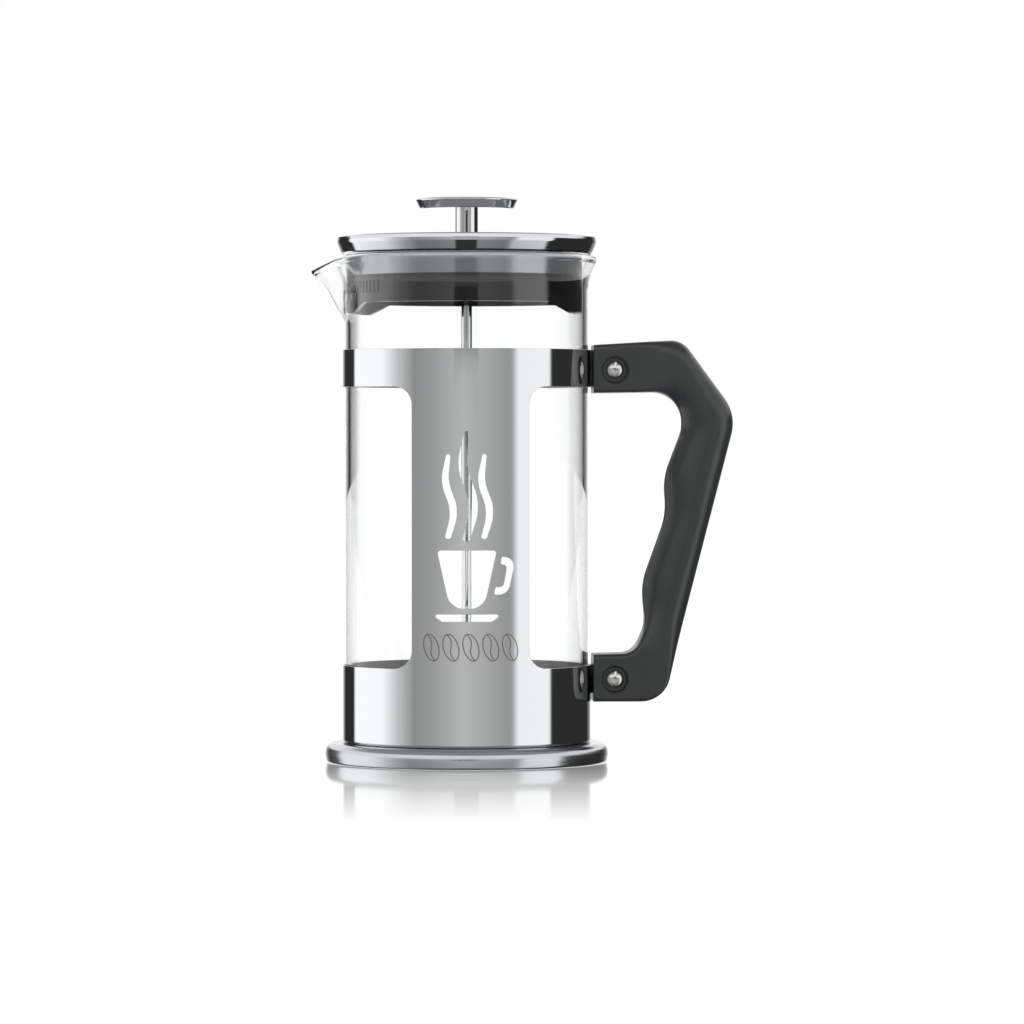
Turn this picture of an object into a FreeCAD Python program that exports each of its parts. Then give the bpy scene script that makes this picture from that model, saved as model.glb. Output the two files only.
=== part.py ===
import FreeCAD, Part
import math
import os
from types import SimpleNamespace

import Sketcher

# A french press for about a litre. The origin is on the beaker's axis at table height, +Z is up,
# +X points to the handle, -X to the spout and -Y to the front panel. All sizes are millimetres.

DIMENSIONS = {
    # name: (size, what it is)
    "gap": (0.3, "space between pieces that move past each other"),
    "slip": (0.05, "radial play of a shaft in its hole"),
    "base_radius": (56.05, "where the base ring's two sloping sides would meet"),
    "base_edge_radius": (55.2, "base ring's radius at its top and bottom edges"),
    "base_height": (7.8, "height of the base ring"),
    "base_sheet": (1.0, "thickness of the base ring's sheet"),
    "base_hole_radius": (42.0, "opening in the base ring's top"),
    "base_flange_radius": (51.5, "inner radius of the flat foot under the base ring"),
    "shell_radius": (49.1, "outer radius of the frame's sleeve"),
    "shell_sheet": (0.8, "thickness of the frame's sheet"),
    "shell_top": (162.6, "top edge of the frame's upper band"),
    "shell_tuck": (1.4, "rounding where the sleeve tucks in at its foot"),
    "shell_flange_radius": (44.0, "inner radius of the sleeve's turned-in flange"),
    "seam_top": (27.0, "top of the welded seam below the lower ears"),
    "window_bottom": (38.4, "lower edge of the side windows"),
    "window_top": (147.9, "upper edge of the side windows"),
    "window_round": (7.0, "rounding of the windows' corners"),
    "panel_half_width": (22.8, "half the width of the front panel"),
    "ear_half_gap": (1.0, "half the space between a band's two ears"),
    "ear_length": (64.0, "how far the ears reach from the axis"),
    "ear_round": (1.5, "rounding of an ear's outer corners"),
    "plate_radius": (47.9, "radius of the steel floor"),
    "plate_sheet": (0.8, "thickness of the steel floor"),
    "pad_outer_radius": (45.0, "outer radius of the silicone cushion"),
    "pad_inner_radius": (30.0, "inner radius of the silicone cushion"),
    "pad_thickness": (1.2, "thickness of the silicone cushion"),
    "glass_radius": (48.0, "outer radius of the beaker"),
    "glass_wall": (2.0, "thickness of the beaker's wall"),
    "glass_floor": (3.0, "thickness of the beaker's floor"),
    "glass_heel": (8.0, "rounding at the beaker's foot"),
    "glass_top": (199.6, "top of the beaker's rim"),
    "flare_start": (189.5, "height where the rim starts to open out"),
    "flare_end": (197.2, "height where the bead starts"),
    "flare_round": (12.0, "rounding where the wall turns out into the flare"),
    "bead_foot_round": (2.0, "rounding where the flare meets the bead"),
    "bead_top_round": (1.1, "rounding over the top of the bead"),
    "bead_radius": (51.3, "outer radius of the beaded rim"),
    "bead_thickness": (2.3, "thickness of the beaded rim"),
    "spout_center": (43.0, "distance of the spout's cone from the axis"),
    "spout_start": (167.8, "height of the spout cone's point"),
    "spout_slope": (0.713, "radius gained for each millimetre of the spout's height"),
    "spout_tip": (193.9, "height of the spout's lip"),
    "spout_dip_start": (46.0, "distance from the axis where the rim starts to dip"),
    "spout_dip_length": (12.0, "how far the cut that dips the rim runs past the lip"),
    "spout_dip_drop": (4.0, "how far the cut that dips the rim falls past the lip"),
    "lid_foot_radius": (49.3, "radius of the lid at the foot of its cone"),
    "lid_radius": (51.4, "widest radius of the lid"),
    "lid_wide_height": (205.9, "height of the lid's widest ring"),
    "lid_top": (207.2, "top of the lid's rolled rim"),
    "lid_sheet": (0.7, "thickness of the lid's sheet"),
    "lid_rim_slope": (0.4, "how far the rolled rim leans in from the lid's widest ring"),
    "lid_rim_width": (1.6, "width of the flat top of the rolled rim"),
    "lid_rim_round": (0.6, "rounding of the rolled rim's edges"),
    "lid_turn": (-9.6, "how far the lid is turned from the spout, in degrees"),
    "collar_radius": (45.6, "outer radius of the lid's steel collar and of its skirt"),
    "collar_sheet": (0.6, "thickness of the collar's sheet"),
    "collar_bottom": (192.2, "lower edge of the collar"),
    "collar_flange_radius": (38.0, "inner radius of the collar's welded flange"),
    "skirt_bottom": (180.9, "lower edge of the skirt between its tabs"),
    "skirt_tab_bottom": (176.7, "lower edge of the skirt's tabs"),
    "skirt_wall": (2.4, "thickness of the skirt"),
    "skirt_web": (2.0, "thickness of the skirt's closed top"),
    "tab_flat": (41.7, "distance from the axis where a tab's flat edge starts"),
    "tab_slope": (35.4, "distance from the axis where a tab's slope starts"),
    "slot_bottom": (184.5, "lower end of the strainer slots"),
    "slot_top": (189.5, "upper end of the strainer slots"),
    "slot_width": (1.2, "width of a strainer slot"),
    "slot_spread": (100.0, "angle that the strainer slots cover, in degrees"),
    "guide_radius": (4.0, "radius of the rod guide's barrel"),
    "guide_flange_radius": (7.5, "radius of the rod guide's flange"),
    "guide_flange_height": (1.5, "thickness of the rod guide's flange"),
    "guide_bottom": (192.4, "lower end of the rod guide"),
    "washer_thickness": (0.8, "thickness of the washer under the lid"),
    "washer_radius": (7.0, "radius of the washer under the lid"),
    "nut_height": (2.6, "height of the nut under the lid"),
    "nut_radius": (6.4, "corner radius of the nut under the lid"),
    "rod_radius": (2.1, "radius of the plunger's rod"),
    "rod_bottom": (15.2, "lower end of the rod"),
    "rod_top": (220.2, "upper end of the rod, inside the knob"),
    "stem_radius": (4.45, "radius of the sleeve under the knob"),
    "knob_bottom": (218.8, "underside of the knob"),
    "knob_top": (222.2, "top of the knob's rim"),
    "knob_foot_radius": (18.2, "radius of the knob's underside"),
    "knob_radius": (20.3, "widest radius of the knob"),
    "knob_dish": (1.0, "depth of the knob's dished top"),
    "knob_rim_edge": (0.6, "height and width of the bevel outside the knob's rim"),
    "knob_rim_width": (1.0, "width of the flat top of the knob's rim"),
    "knob_rim_slope": (1.6, "width of the slope from the rim into the dish"),
    "hub_bottom": (14.6, "underside of the filter's hub"),
    "hub_height": (2.9, "height of the filter's hub"),
    "hub_radius": (5.0, "radius of the filter's hub"),
    "cross_sheet": (0.8, "thickness of the cross plate"),
    "cross_radius": (42.5, "radius of the cross plate"),
    "mesh_thickness": (0.4, "thickness of the gauze"),
    "mesh_radius": (45.7, "radius of the gauze's upturned edge"),
    "mesh_lip": (2.4, "height of the gauze's upturned edge"),
    "spring_ring_radius": (43.85, "radius of the circle that the edge spring lies on"),
    "spring_coil_radius": (1.35, "outer radius of the edge spring's coil"),
    "spring_plate_radius": (42.4, "radius of the upper filter plate"),
    "spring_plate_sheet": (0.8, "thickness of the upper filter plate"),
    "collar_nut_height": (4.0, "height of the shoulder nut on the rod"),
    "collar_nut_radius": (4.5, "radius of the shoulder nut on the rod"),
    "handle_width": (20.0, "width of the handle across the front"),
    "handle_edge": (6.0, "rounding along the handle's sides"),
    "screw_reach": (58.1, "distance of the handle screws from the axis"),
    "upper_screw_height": (154.7, "height of the upper handle screw"),
    "lower_screw_height": (32.7, "height of the lower handle screw"),
    "screw_radius": (2.0, "radius of a handle screw's shank"),
    "screw_head_radius": (3.4, "radius of a handle screw's head"),
    "screw_head_height": (1.9, "height of a handle screw's head"),
    "screw_recess_radius": (4.9, "radius of the recess round a screw's head"),
    "screw_recess_depth": (2.4, "depth of the recess round a screw's head"),
    "screw_slot_width": (0.9, "width of a screw's slot"),
    "screw_slot_depth": (0.9, "depth of a screw's slot"),
    "screw_slot_tilt": (7.0, "how far a screw's slot leans from upright, in degrees"),
    "screw_play": (0.15, "space between a screw's shank and what it passes through"),
    "ear_slot_play": (0.15, "space between an ear and each side of its slot in the handle"),
    "ear_slot_end_play": (0.5, "space between an ear's end and the end of its slot"),
    "ear_slot_round": (1.0, "rounding of the end corners of an ear's slot"),
    "screw_length": (14.0, "length of a handle screw's shank"),
    "nut_barrel_radius": (3.0, "outer radius of a sleeve nut's barrel"),
    "nut_barrel_length": (5.2, "length of a sleeve nut's barrel"),
    "spacer_radius": (3.6, "outer radius of the tube between two ears"),
}

# The handle's side view, from the upper end over the back to the lower end and up the finger grooves.
# Each corner is (name, distance from the axis, height, rounding).
HANDLE_CORNERS = [
    ("upper_end_top", 49.7, 164.6, 0),
    ("shoulder", 85.1, 166.7, 8.7),
    ("back", 106.9, 137.1, 16.7),
    ("heel", 77.7, 23.8, 11.8),
    ("lower_end_bottom", 49.7, 23.8, 0),
    ("lower_end_top", 49.7, 42.6, 0),
    ("lower_crook", 66.0, 43.0, 7.5),
    ("third_groove", 70.5, 54.0, 9.0),
    ("second_bump", 69.2, 70.0, 14.0),
    ("second_groove", 78.9, 98.0, 14.0),
    ("first_bump", 77.9, 112.0, 14.0),
    ("first_groove", 84.9, 131.0, 8.0),
    ("upper_crook", 84.9, 146.0, 11.5),
    ("upper_end_bottom", 49.7, 145.5, 0),
]

# The stencil in the front panel: a cup with three wisps of steam over it, each an outline of rounded
# corners (distance across, height, rounding) seen from the front.
CUP_OUTLINE = [
    ("cup_left_lip", -13.0, 84.5, 1.2),
    ("cup_left_foot", -8.0, 62.0, 6.5),
    ("cup_right_foot", 5.0, 62.0, 6.5),
    ("cup_right_lip", 10.0, 84.5, 1.2),
]
CUP_EAR_OUTLINE = [
    ("ear_outer_top", 17.6, 82.0, 4.0),
    ("ear_outer_bottom", 14.4, 67.5, 4.2),
    ("ear_foot", 9.0, 67.5, 0.6),
    ("ear_foot_top", 9.6, 70.3, 0.6),
    ("ear_inner_bottom", 12.6, 70.3, 1.8),
    ("ear_inner_top", 14.3, 79.2, 1.8),
    ("ear_root", 11.6, 79.2, 0.6),
    ("ear_root_top", 12.0, 82.0, 0.6),
]
SAUCER_OUTLINE = [
    ("saucer_left_top", -15.5, 59.8, 1.0),
    ("saucer_left_bottom", -11.0, 57.0, 1.3),
    ("saucer_right_bottom", 8.0, 57.0, 1.3),
    ("saucer_right_top", 12.5, 59.8, 1.0),
]
STEAM_OUTLINE = [
    ("steam_foot_left", -1.3, 0.0, 1.1),
    ("steam_lower_left", 1.9, 12.5, 16.0),
    ("steam_upper_left", -3.2, 25.5, 16.0),
    ("steam_tip_left", -0.5, 38.0, 0.9),
    ("steam_tip_right", 1.3, 38.0, 0.9),
    ("steam_upper_right", 0.2, 25.5, 16.0),
    ("steam_lower_right", 5.3, 12.5, 16.0),
    ("steam_foot_right", 1.3, 0.0, 1.1),
]
STEAM_WISPS = [("left", -9.0, 89.0, 0.86), ("middle", -2.0, 88.0, 1.12), ("right", 5.0, 89.0, 0.86)]

STRAINER_SLOTS = 34

# Rings of drain holes: (holes, distance from the axis, hole radius).
CROSS_PLATE_HOLES = [(8, 12, 3.5), (16, 23.5, 3.5), (24, 34.5, 3.5)]
SPRING_PLATE_HOLES = [(8, 14, 4.0), (16, 28, 4.0)]

# How far an outline that cuts runs past the metal or plastic it cuts.
OVERCUT = 2.0


class Size:
    """A length known both as a number and as the sheet expression that drives it."""

    def __init__(self, value, text):
        self.value = value
        self.text = text

    def __add__(self, other):
        other = as_size(other)
        return Size(self.value + other.value, f"({self.text} + {other.text})")

    def __sub__(self, other):
        other = as_size(other)
        return Size(self.value - other.value, f"({self.text} - {other.text})")

    def __mul__(self, other):
        other = as_size(other)
        return Size(self.value * other.value, f"({self.text} * {other.text})")

    def __truediv__(self, other):
        other = as_size(other)
        return Size(self.value / other.value, f"({self.text} / {other.text})")

    def __neg__(self):
        return Size(-self.value, f"(-{self.text})")


def as_size(value):
    """A plain number as a size."""
    return value if isinstance(value, Size) else Size(float(value), f"({value})")


doc = FreeCAD.newDocument("FrenchPress")
sheet = doc.addObject("Spreadsheet::Sheet", "Sizes")


def fill_sheet():
    """Write every driving dimension into the sheet and return them as sizes."""
    rows = dict(DIMENSIONS)
    for name, reach, height, rounding in HANDLE_CORNERS:
        rows[f"handle_{name}_reach"] = (reach, "handle corner's distance from the axis")
        rows[f"handle_{name}_height"] = (height, "handle corner's height")
        if rounding:
            rows[f"handle_{name}_round"] = (rounding, "handle corner's rounding")
    sizes = {}
    for row, (name, (value, note)) in enumerate(rows.items(), start=1):
        sheet.set(f"A{row}", name.replace("_", " "))
        sheet.set(f"B{row}", str(value))
        sheet.setAlias(f"B{row}", name)
        sheet.set(f"C{row}", note)
        sizes[name] = Size(value, f"Sizes.{name}")
    doc.recompute()
    return SimpleNamespace(**sizes)


d = fill_sheet()
pieces = []


def bind(item, prop, size):
    """Drive one property by the sheet."""
    size = as_size(size)
    item.setExpression(prop, size.text)


def new_body(label):
    """An empty body that becomes one piece."""
    body = doc.addObject("PartDesign::Body", label)
    body.Label = label
    pieces.append(body)
    return body


def origin_plane(body, role):
    """The body's own origin plane, such as XZ_Plane."""
    return next(item for item in body.Origin.OriginFeatures if item.Role == role)


def new_sketch(body, name, role, offset=None):
    """An empty sketch on one of the body's origin planes, moved along its normal by the offset."""
    sketch = body.newObject("Sketcher::SketchObject", name)
    sketch.AttachmentSupport = (origin_plane(body, role), [""])
    sketch.MapMode = "FlatFace"
    if offset is not None:
        bind(sketch, "AttachmentOffset.Base.z", offset)
    return sketch


def pin_point(sketch, item, end, across, up):
    """Hold one point of the sketch at two sizes measured from the origin."""
    for kind, size in (("DistanceX", across), ("DistanceY", up)):
        index = sketch.addConstraint(Sketcher.Constraint(kind, -1, 1, item, end, size.value))
        sketch.setExpression(f"Constraints[{index}]", size.text)


def rounded_corner(before, corner, after, radius):
    """The start, middle and end of the arc that rounds a corner between its two neighbours."""
    to_before = (before - corner).normalize()
    to_after = (after - corner).normalize()
    half = math.acos(max(-1.0, min(1.0, to_before.dot(to_after)))) / 2
    reach = radius / math.tan(half)
    center = corner + (to_before + to_after).normalize() * (radius / math.sin(half))
    start = corner + to_before * reach
    end = corner + to_after * reach
    middle = center + (corner - center).normalize() * radius
    return start, middle, end


def draw_outline(sketch, corners):
    """Draw a closed outline through corners of (across, up) or (across, up, rounding).

    A plain corner is pinned to the sheet. A rounded one is an arc tangent to both of its lines, which
    run through a construction point that is pinned instead.
    """
    corners = [tuple(as_size(value) for value in corner) for corner in corners]
    places = [FreeCAD.Vector(corner[0].value, corner[1].value, 0) for corner in corners]
    count = len(corners)
    ends = []
    for index, corner in enumerate(corners):
        if len(corner) == 3 and corner[2].value > 0:
            ends.append(rounded_corner(places[index - 1], places[index], places[(index + 1) % count],
                                       corner[2].value))
        else:
            ends.append((places[index], None, places[index]))
    lines = []
    for index in range(count):
        start, end = ends[index][2], ends[(index + 1) % count][0]
        lines.append(sketch.addGeometry(Part.LineSegment(start, end), False))
    for index, corner in enumerate(corners):
        into, out = lines[index - 1], lines[index]
        start, middle, end = ends[index]
        if middle is None:
            sketch.addConstraint(Sketcher.Constraint("Coincident", into, 2, out, 1))
            pin_point(sketch, out, 1, corner[0], corner[1])
            continue
        leftward = (middle - start).cross(end - middle).z > 0
        ccw_ends = (start, end) if leftward else (end, start)
        arc = sketch.addGeometry(Part.Arc(ccw_ends[0], middle, ccw_ends[1]), False)
        first, last = (1, 2) if leftward else (2, 1)
        sketch.addConstraint(Sketcher.Constraint("Tangent", into, 2, arc, first))
        sketch.addConstraint(Sketcher.Constraint("Tangent", arc, last, out, 1))
        index = sketch.addConstraint(Sketcher.Constraint("Radius", arc, corner[2].value))
        sketch.setExpression(f"Constraints[{index}]", corner[2].text)
        point = sketch.addGeometry(Part.Point(FreeCAD.Vector(corner[0].value, corner[1].value, 0)), True)
        pin_point(sketch, point, 1, corner[0], corner[1])
        sketch.addConstraint(Sketcher.Constraint("PointOnObject", point, 1, into))
        sketch.addConstraint(Sketcher.Constraint("PointOnObject", point, 1, out))


def draw_circle(sketch, radius, across=0, up=0):
    """Draw a circle of a driven radius at a driven place."""
    radius, across, up = as_size(radius), as_size(across), as_size(up)
    center = FreeCAD.Vector(across.value, up.value, 0)
    item = sketch.addGeometry(Part.Circle(center, FreeCAD.Vector(0, 0, 1), radius.value), False)
    index = sketch.addConstraint(Sketcher.Constraint("Radius", item, radius.value))
    sketch.setExpression(f"Constraints[{index}]", radius.text)
    pin_point(sketch, item, 3, across, up)


def revolve(body, corners, name="Profile"):
    """Turn an outline of (radius, height) corners about the vertical axis."""
    sketch = new_sketch(body, name, "XZ_Plane")
    draw_outline(sketch, corners)
    feature = body.newObject("PartDesign::Revolution", "Turned" + name)
    feature.Profile = sketch
    feature.ReferenceAxis = (sketch, ["V_Axis"])
    feature.Angle = 360
    return feature


def pad(body, sketch, length, both_ways=False):
    """Push a sketch out into a solid."""
    feature = body.newObject("PartDesign::Pad", sketch.Name + "Pad")
    feature.Profile = sketch
    feature.Midplane = both_ways
    bind(feature, "Length", length)
    return feature


def pocket(body, sketch, length=None, both_ways=False, flipped=False):
    """Cut a sketch out of the solid, through everything where no length is given."""
    feature = body.newObject("PartDesign::Pocket", sketch.Name + "Pocket")
    feature.Profile = sketch
    feature.Midplane = both_ways
    feature.Reversed = flipped
    if length is None:
        feature.Type = "ThroughAll"
    else:
        bind(feature, "Length", length)
    return feature


def polar_pattern(body, feature, sketch, occurrences, angle=None):
    """Repeat a feature about the normal of a horizontal sketch, all round or over an angle."""
    pattern = body.newObject("PartDesign::PolarPattern", feature.Name + "Pattern")
    pattern.Originals = [feature]
    pattern.Axis = (sketch, ["N_Axis"])
    pattern.Occurrences = occurrences
    if angle is None:
        pattern.Angle = 360
    else:
        bind(pattern, "Angle", angle)
    body.Tip = pattern
    return pattern


def round_edges(body, base, radius, chosen):
    """Round the edges of a feature that the test picks."""
    doc.recompute()
    names = [f"Edge{number}" for number, edge in enumerate(base.Shape.Edges, start=1) if chosen(edge)]
    fillet = body.newObject("PartDesign::Fillet", base.Name + "Fillet")
    fillet.Base = (base, names)
    bind(fillet, "Radius", radius)
    return fillet


def tube_along_y(label, outer, bore, near, length, reach, height):
    """A plain tube whose axis runs along Y, from the near end on."""
    wall = doc.addObject("Part::Cylinder", label + "_wall")
    bind(wall, "Radius", outer)
    bind(wall, "Height", length)
    hole = doc.addObject("Part::Cylinder", label + "_bore")
    bind(hole, "Radius", bore)
    bind(hole, "Height", length)
    tube = doc.addObject("Part::Cut", label)
    tube.Base = wall
    tube.Tool = hole
    tube.Label = label
    turn_along_y(tube, near, reach, height)
    pieces.append(tube)
    return tube


def turn_along_y(item, near, reach, height, around=0):
    """Lay a piece made along +Z on the Y axis: its foot at the near end, running to +Y."""
    turn = FreeCAD.Rotation(FreeCAD.Vector(1, 0, 0), -90)
    spin = FreeCAD.Rotation(FreeCAD.Vector(0, 1, 0), around)
    item.Placement = FreeCAD.Placement(FreeCAD.Vector(0, 0, 0), spin * turn)
    bind(item, "Placement.Base.x", reach)
    bind(item, "Placement.Base.y", near)
    bind(item, "Placement.Base.z", height)


# --- sizes worked out from the driving ones ---

shell_inner_radius = d.shell_radius - d.shell_sheet
shell_bottom = d.base_height
shell_flange_top = shell_bottom + d.shell_sheet
plate_top = shell_flange_top + d.plate_sheet
pad_top = plate_top + d.pad_thickness
glass_bottom = pad_top + d.gap
glass_inner_radius = d.glass_radius - d.glass_wall
glass_inside_bottom = glass_bottom + d.glass_floor
lid_bottom = d.glass_top + d.gap
lid_floor_top = lid_bottom + d.lid_sheet
guide_flange_top = lid_floor_top + d.guide_flange_height
skirt_top = lid_bottom - d.collar_sheet - 0.1
skirt_web_bottom = skirt_top - d.skirt_web
spigot_radius = d.collar_radius - d.collar_sheet - 0.1
cross_bottom = d.hub_bottom + d.hub_height
mesh_bottom = cross_bottom + d.cross_sheet
mesh_top = mesh_bottom + d.mesh_thickness
spring_plate_top = mesh_top + d.spring_plate_sheet
stem_bottom = guide_flange_top + d.gap
ear_outside = d.ear_half_gap + d.shell_sheet
half_width = d.handle_width / 2
recess_floor = half_width - d.screw_recess_depth


# --- the frame: base ring, sleeve, floor and cushion ---

def make_base_ring():
    """A pressed ring with a crowned outer band, open below, that stands on a flat foot."""
    body = new_body("base_ring")
    inside = d.base_sheet
    revolve(body, [
        (d.base_flange_radius, 0),
        (d.base_edge_radius, 0, 1.0),
        (d.base_radius, d.base_height / 2, 9.0),
        (d.base_edge_radius, d.base_height, 2.0),
        (d.base_hole_radius, d.base_height),
        (d.base_hole_radius, d.base_height - inside),
        (d.base_edge_radius - inside, d.base_height - inside, 1.0),
        (d.base_radius - inside, d.base_height / 2, 5.0),
        (d.base_edge_radius - inside, inside, 0.4),
        (d.base_flange_radius, inside),
    ])


def cut_stencil(body, name, outline, shift=(0, 0), scale=1):
    """Cut one rounded outline out of the front panel only."""
    sketch = new_sketch(body, name, "XZ_Plane", d.panel_half_width)
    corners = [
        (shift[0] + scale * across, shift[1] + scale * up, scale * rounding)
        for _, across, up, rounding in outline
    ]
    draw_outline(sketch, corners)
    pocket(body, sketch, d.shell_radius, flipped=True)


def make_frame_shell():
    """The sleeve: two bands joined by a front panel, with ears for the handle that joins them too."""
    body = new_body("frame_shell")
    revolve(body, [
        (d.shell_flange_radius, shell_bottom),
        (d.shell_radius, shell_bottom, d.shell_tuck),
        (d.shell_radius, d.shell_top),
        (shell_inner_radius, d.shell_top),
        (shell_inner_radius, shell_flange_top, 0.5),
        (d.shell_flange_radius, shell_flange_top),
    ])
    outside = d.shell_radius + OVERCUT
    for name, side in (("HandleWindow", 1), ("SpoutWindow", -1)):
        window = new_sketch(body, name, "XZ_Plane")
        draw_outline(window, [
            (d.panel_half_width * side, d.window_bottom, d.window_round),
            (outside * side, d.window_bottom),
            (outside * side, d.window_top),
            (d.panel_half_width * side, d.window_top, d.window_round),
        ])
        pocket(body, window, outside, flipped=True)
    opening = new_sketch(body, "BackOpening", "XZ_Plane")
    draw_outline(opening, [
        (-outside, d.window_bottom),
        (outside, d.window_bottom),
        (outside, d.window_top),
        (-outside, d.window_top),
    ])
    pocket(body, opening, outside)
    make_ears(body)
    cut_stencil(body, "CupStencil", CUP_OUTLINE)
    cut_stencil(body, "CupEarStencil", CUP_EAR_OUTLINE)
    cut_stencil(body, "SaucerStencil", SAUCER_OUTLINE)
    for name, across, up, scale in STEAM_WISPS:
        cut_stencil(body, f"Steam{name.title()}Stencil", STEAM_OUTLINE, (across, up), scale)


def make_ears(body):
    """Two ears at each band, the slit between them and the hole for the handle's screw."""
    bands = (
        ("Lower", d.seam_top, d.window_bottom, d.lower_screw_height),
        ("Upper", d.window_top, d.shell_top, d.upper_screw_height),
    )
    ear_root = shell_inner_radius + d.shell_sheet / 2
    for name, bottom, top, _ in bands:
        for side_name, side in (("Front", -1), ("Back", 1)):
            ear = new_sketch(body, f"{name}{side_name}Ear", "XZ_Plane", -d.ear_half_gap * side)
            draw_outline(ear, [
                (ear_root, bottom),
                (d.ear_length, bottom, d.ear_round),
                (d.ear_length, top, d.ear_round),
                (ear_root, top),
            ])
            feature = pad(body, ear, d.shell_sheet)
            feature.Reversed = side > 0
    for name, bottom, top, height in bands:
        slit = new_sketch(body, f"{name}Slit", "XY_Plane", bottom)
        draw_outline(slit, [
            (ear_root - OVERCUT, -d.ear_half_gap),
            (d.ear_length + OVERCUT, -d.ear_half_gap),
            (d.ear_length + OVERCUT, d.ear_half_gap),
            (ear_root - OVERCUT, d.ear_half_gap),
        ])
        pocket(body, slit, top - bottom, flipped=True)
        hole = new_sketch(body, f"{name}EarHole", "XZ_Plane")
        draw_circle(hole, d.screw_radius + d.screw_play, d.screw_reach, height)
        pocket(body, hole, both_ways=True)


def make_base_plate():
    """The steel floor that closes the sleeve, with a rounded edge."""
    body = new_body("base_plate")
    revolve(body, [
        (0, shell_flange_top),
        (d.plate_radius, shell_flange_top, 0.3),
        (d.plate_radius, plate_top, 0.3),
        (0, plate_top),
    ])


def make_base_pad():
    """The silicone ring that the beaker stands on."""
    body = new_body("base_pad")
    revolve(body, [
        (d.pad_inner_radius, plate_top),
        (d.pad_outer_radius, plate_top),
        (d.pad_outer_radius, pad_top, 0.5),
        (d.pad_inner_radius, pad_top, 0.5),
    ])


# --- the handle and its fasteners ---

def make_handle():
    """The moulded grip, with a slot for each pair of ears and a recessed hole for each screw."""
    body = new_body("handle")
    side = new_sketch(body, "SideView", "XZ_Plane")
    corners = []
    for name, *_ in HANDLE_CORNERS:
        corner = [getattr(d, f"handle_{name}_reach"), getattr(d, f"handle_{name}_height")]
        if hasattr(d, f"handle_{name}_round"):
            corner.append(getattr(d, f"handle_{name}_round"))
        corners.append(tuple(corner))
    draw_outline(side, corners)
    grip = pad(body, side, d.handle_width, both_ways=True)
    end = d.handle_upper_end_top_reach.value
    close = 0.01

    def runs_round_a_side(edge):
        flat = abs(abs(edge.BoundBox.YMin) - half_width.value) < close and edge.BoundBox.YLength < close
        return flat and edge.BoundBox.XMax > end + close

    round_edges(body, grip, d.handle_edge, runs_round_a_side)
    legs = (
        ("Lower", d.seam_top, d.window_bottom, d.lower_screw_height),
        ("Upper", d.window_top, d.shell_top, d.upper_screw_height),
    )
    slot_half_width = ear_outside + d.ear_slot_play
    slot_end = d.ear_length + d.ear_slot_end_play
    slot_mouth = d.shell_radius - OVERCUT
    for name, bottom, top, height in legs:
        slot = new_sketch(body, f"{name}Slot", "XY_Plane", bottom - d.ear_slot_play)
        draw_outline(slot, [
            (slot_mouth, -slot_half_width),
            (slot_end, -slot_half_width, d.ear_slot_round),
            (slot_end, slot_half_width, d.ear_slot_round),
            (slot_mouth, slot_half_width),
        ])
        pocket(body, slot, top - bottom + d.ear_slot_play * 2, flipped=True)
        hole = new_sketch(body, f"{name}ScrewHole", "XZ_Plane")
        draw_circle(hole, d.screw_radius + d.screw_play, d.screw_reach, height)
        pocket(body, hole, both_ways=True)
        barrel = new_sketch(body, f"{name}BarrelHole", "XZ_Plane")
        draw_circle(barrel, d.nut_barrel_radius + d.screw_play, d.screw_reach, height)
        pocket(body, barrel, d.handle_width)
        for side_name, flipped, offset in (("Front", True, recess_floor), ("Back", False, -recess_floor)):
            recess = new_sketch(body, f"{name}{side_name}Recess", "XZ_Plane", offset)
            draw_circle(recess, d.screw_recess_radius, d.screw_reach, height)
            pocket(body, recess, d.handle_width, flipped=flipped)


def make_slotted_head(label, shank_radius, shank_length, bore_radius=None):
    """A round head with a driver slot on a plain shank, made along +Z with its slot at the bottom."""
    head = doc.addObject("Part::Cylinder", label + "_head")
    bind(head, "Radius", d.screw_head_radius)
    bind(head, "Height", d.screw_head_height)
    shank = doc.addObject("Part::Cylinder", label + "_shank")
    bind(shank, "Radius", shank_radius)
    bind(shank, "Height", d.screw_head_height + shank_length)
    whole = doc.addObject("Part::Fuse", label + "_blank")
    whole.Base = head
    whole.Tool = shank
    slot = doc.addObject("Part::Box", label + "_slot")
    bind(slot, "Length", d.screw_slot_width)
    slot_length = d.screw_head_radius * 2 + OVERCUT
    bind(slot, "Width", slot_length)
    bind(slot, "Height", d.screw_slot_depth)
    bind(slot, "Placement.Base.x", -d.screw_slot_width / 2)
    bind(slot, "Placement.Base.y", -slot_length / 2)
    slotted = doc.addObject("Part::Cut", label + "_slotted")
    slotted.Base = whole
    slotted.Tool = slot
    if bore_radius is None:
        return slotted
    bore = doc.addObject("Part::Cylinder", label + "_bore")
    bind(bore, "Radius", bore_radius)
    bind(bore, "Height", shank_length)
    bind(bore, "Placement.Base.z", d.screw_head_height)
    bored = doc.addObject("Part::Cut", label + "_bored")
    bored.Base = slotted
    bored.Tool = bore
    return bored


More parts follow.
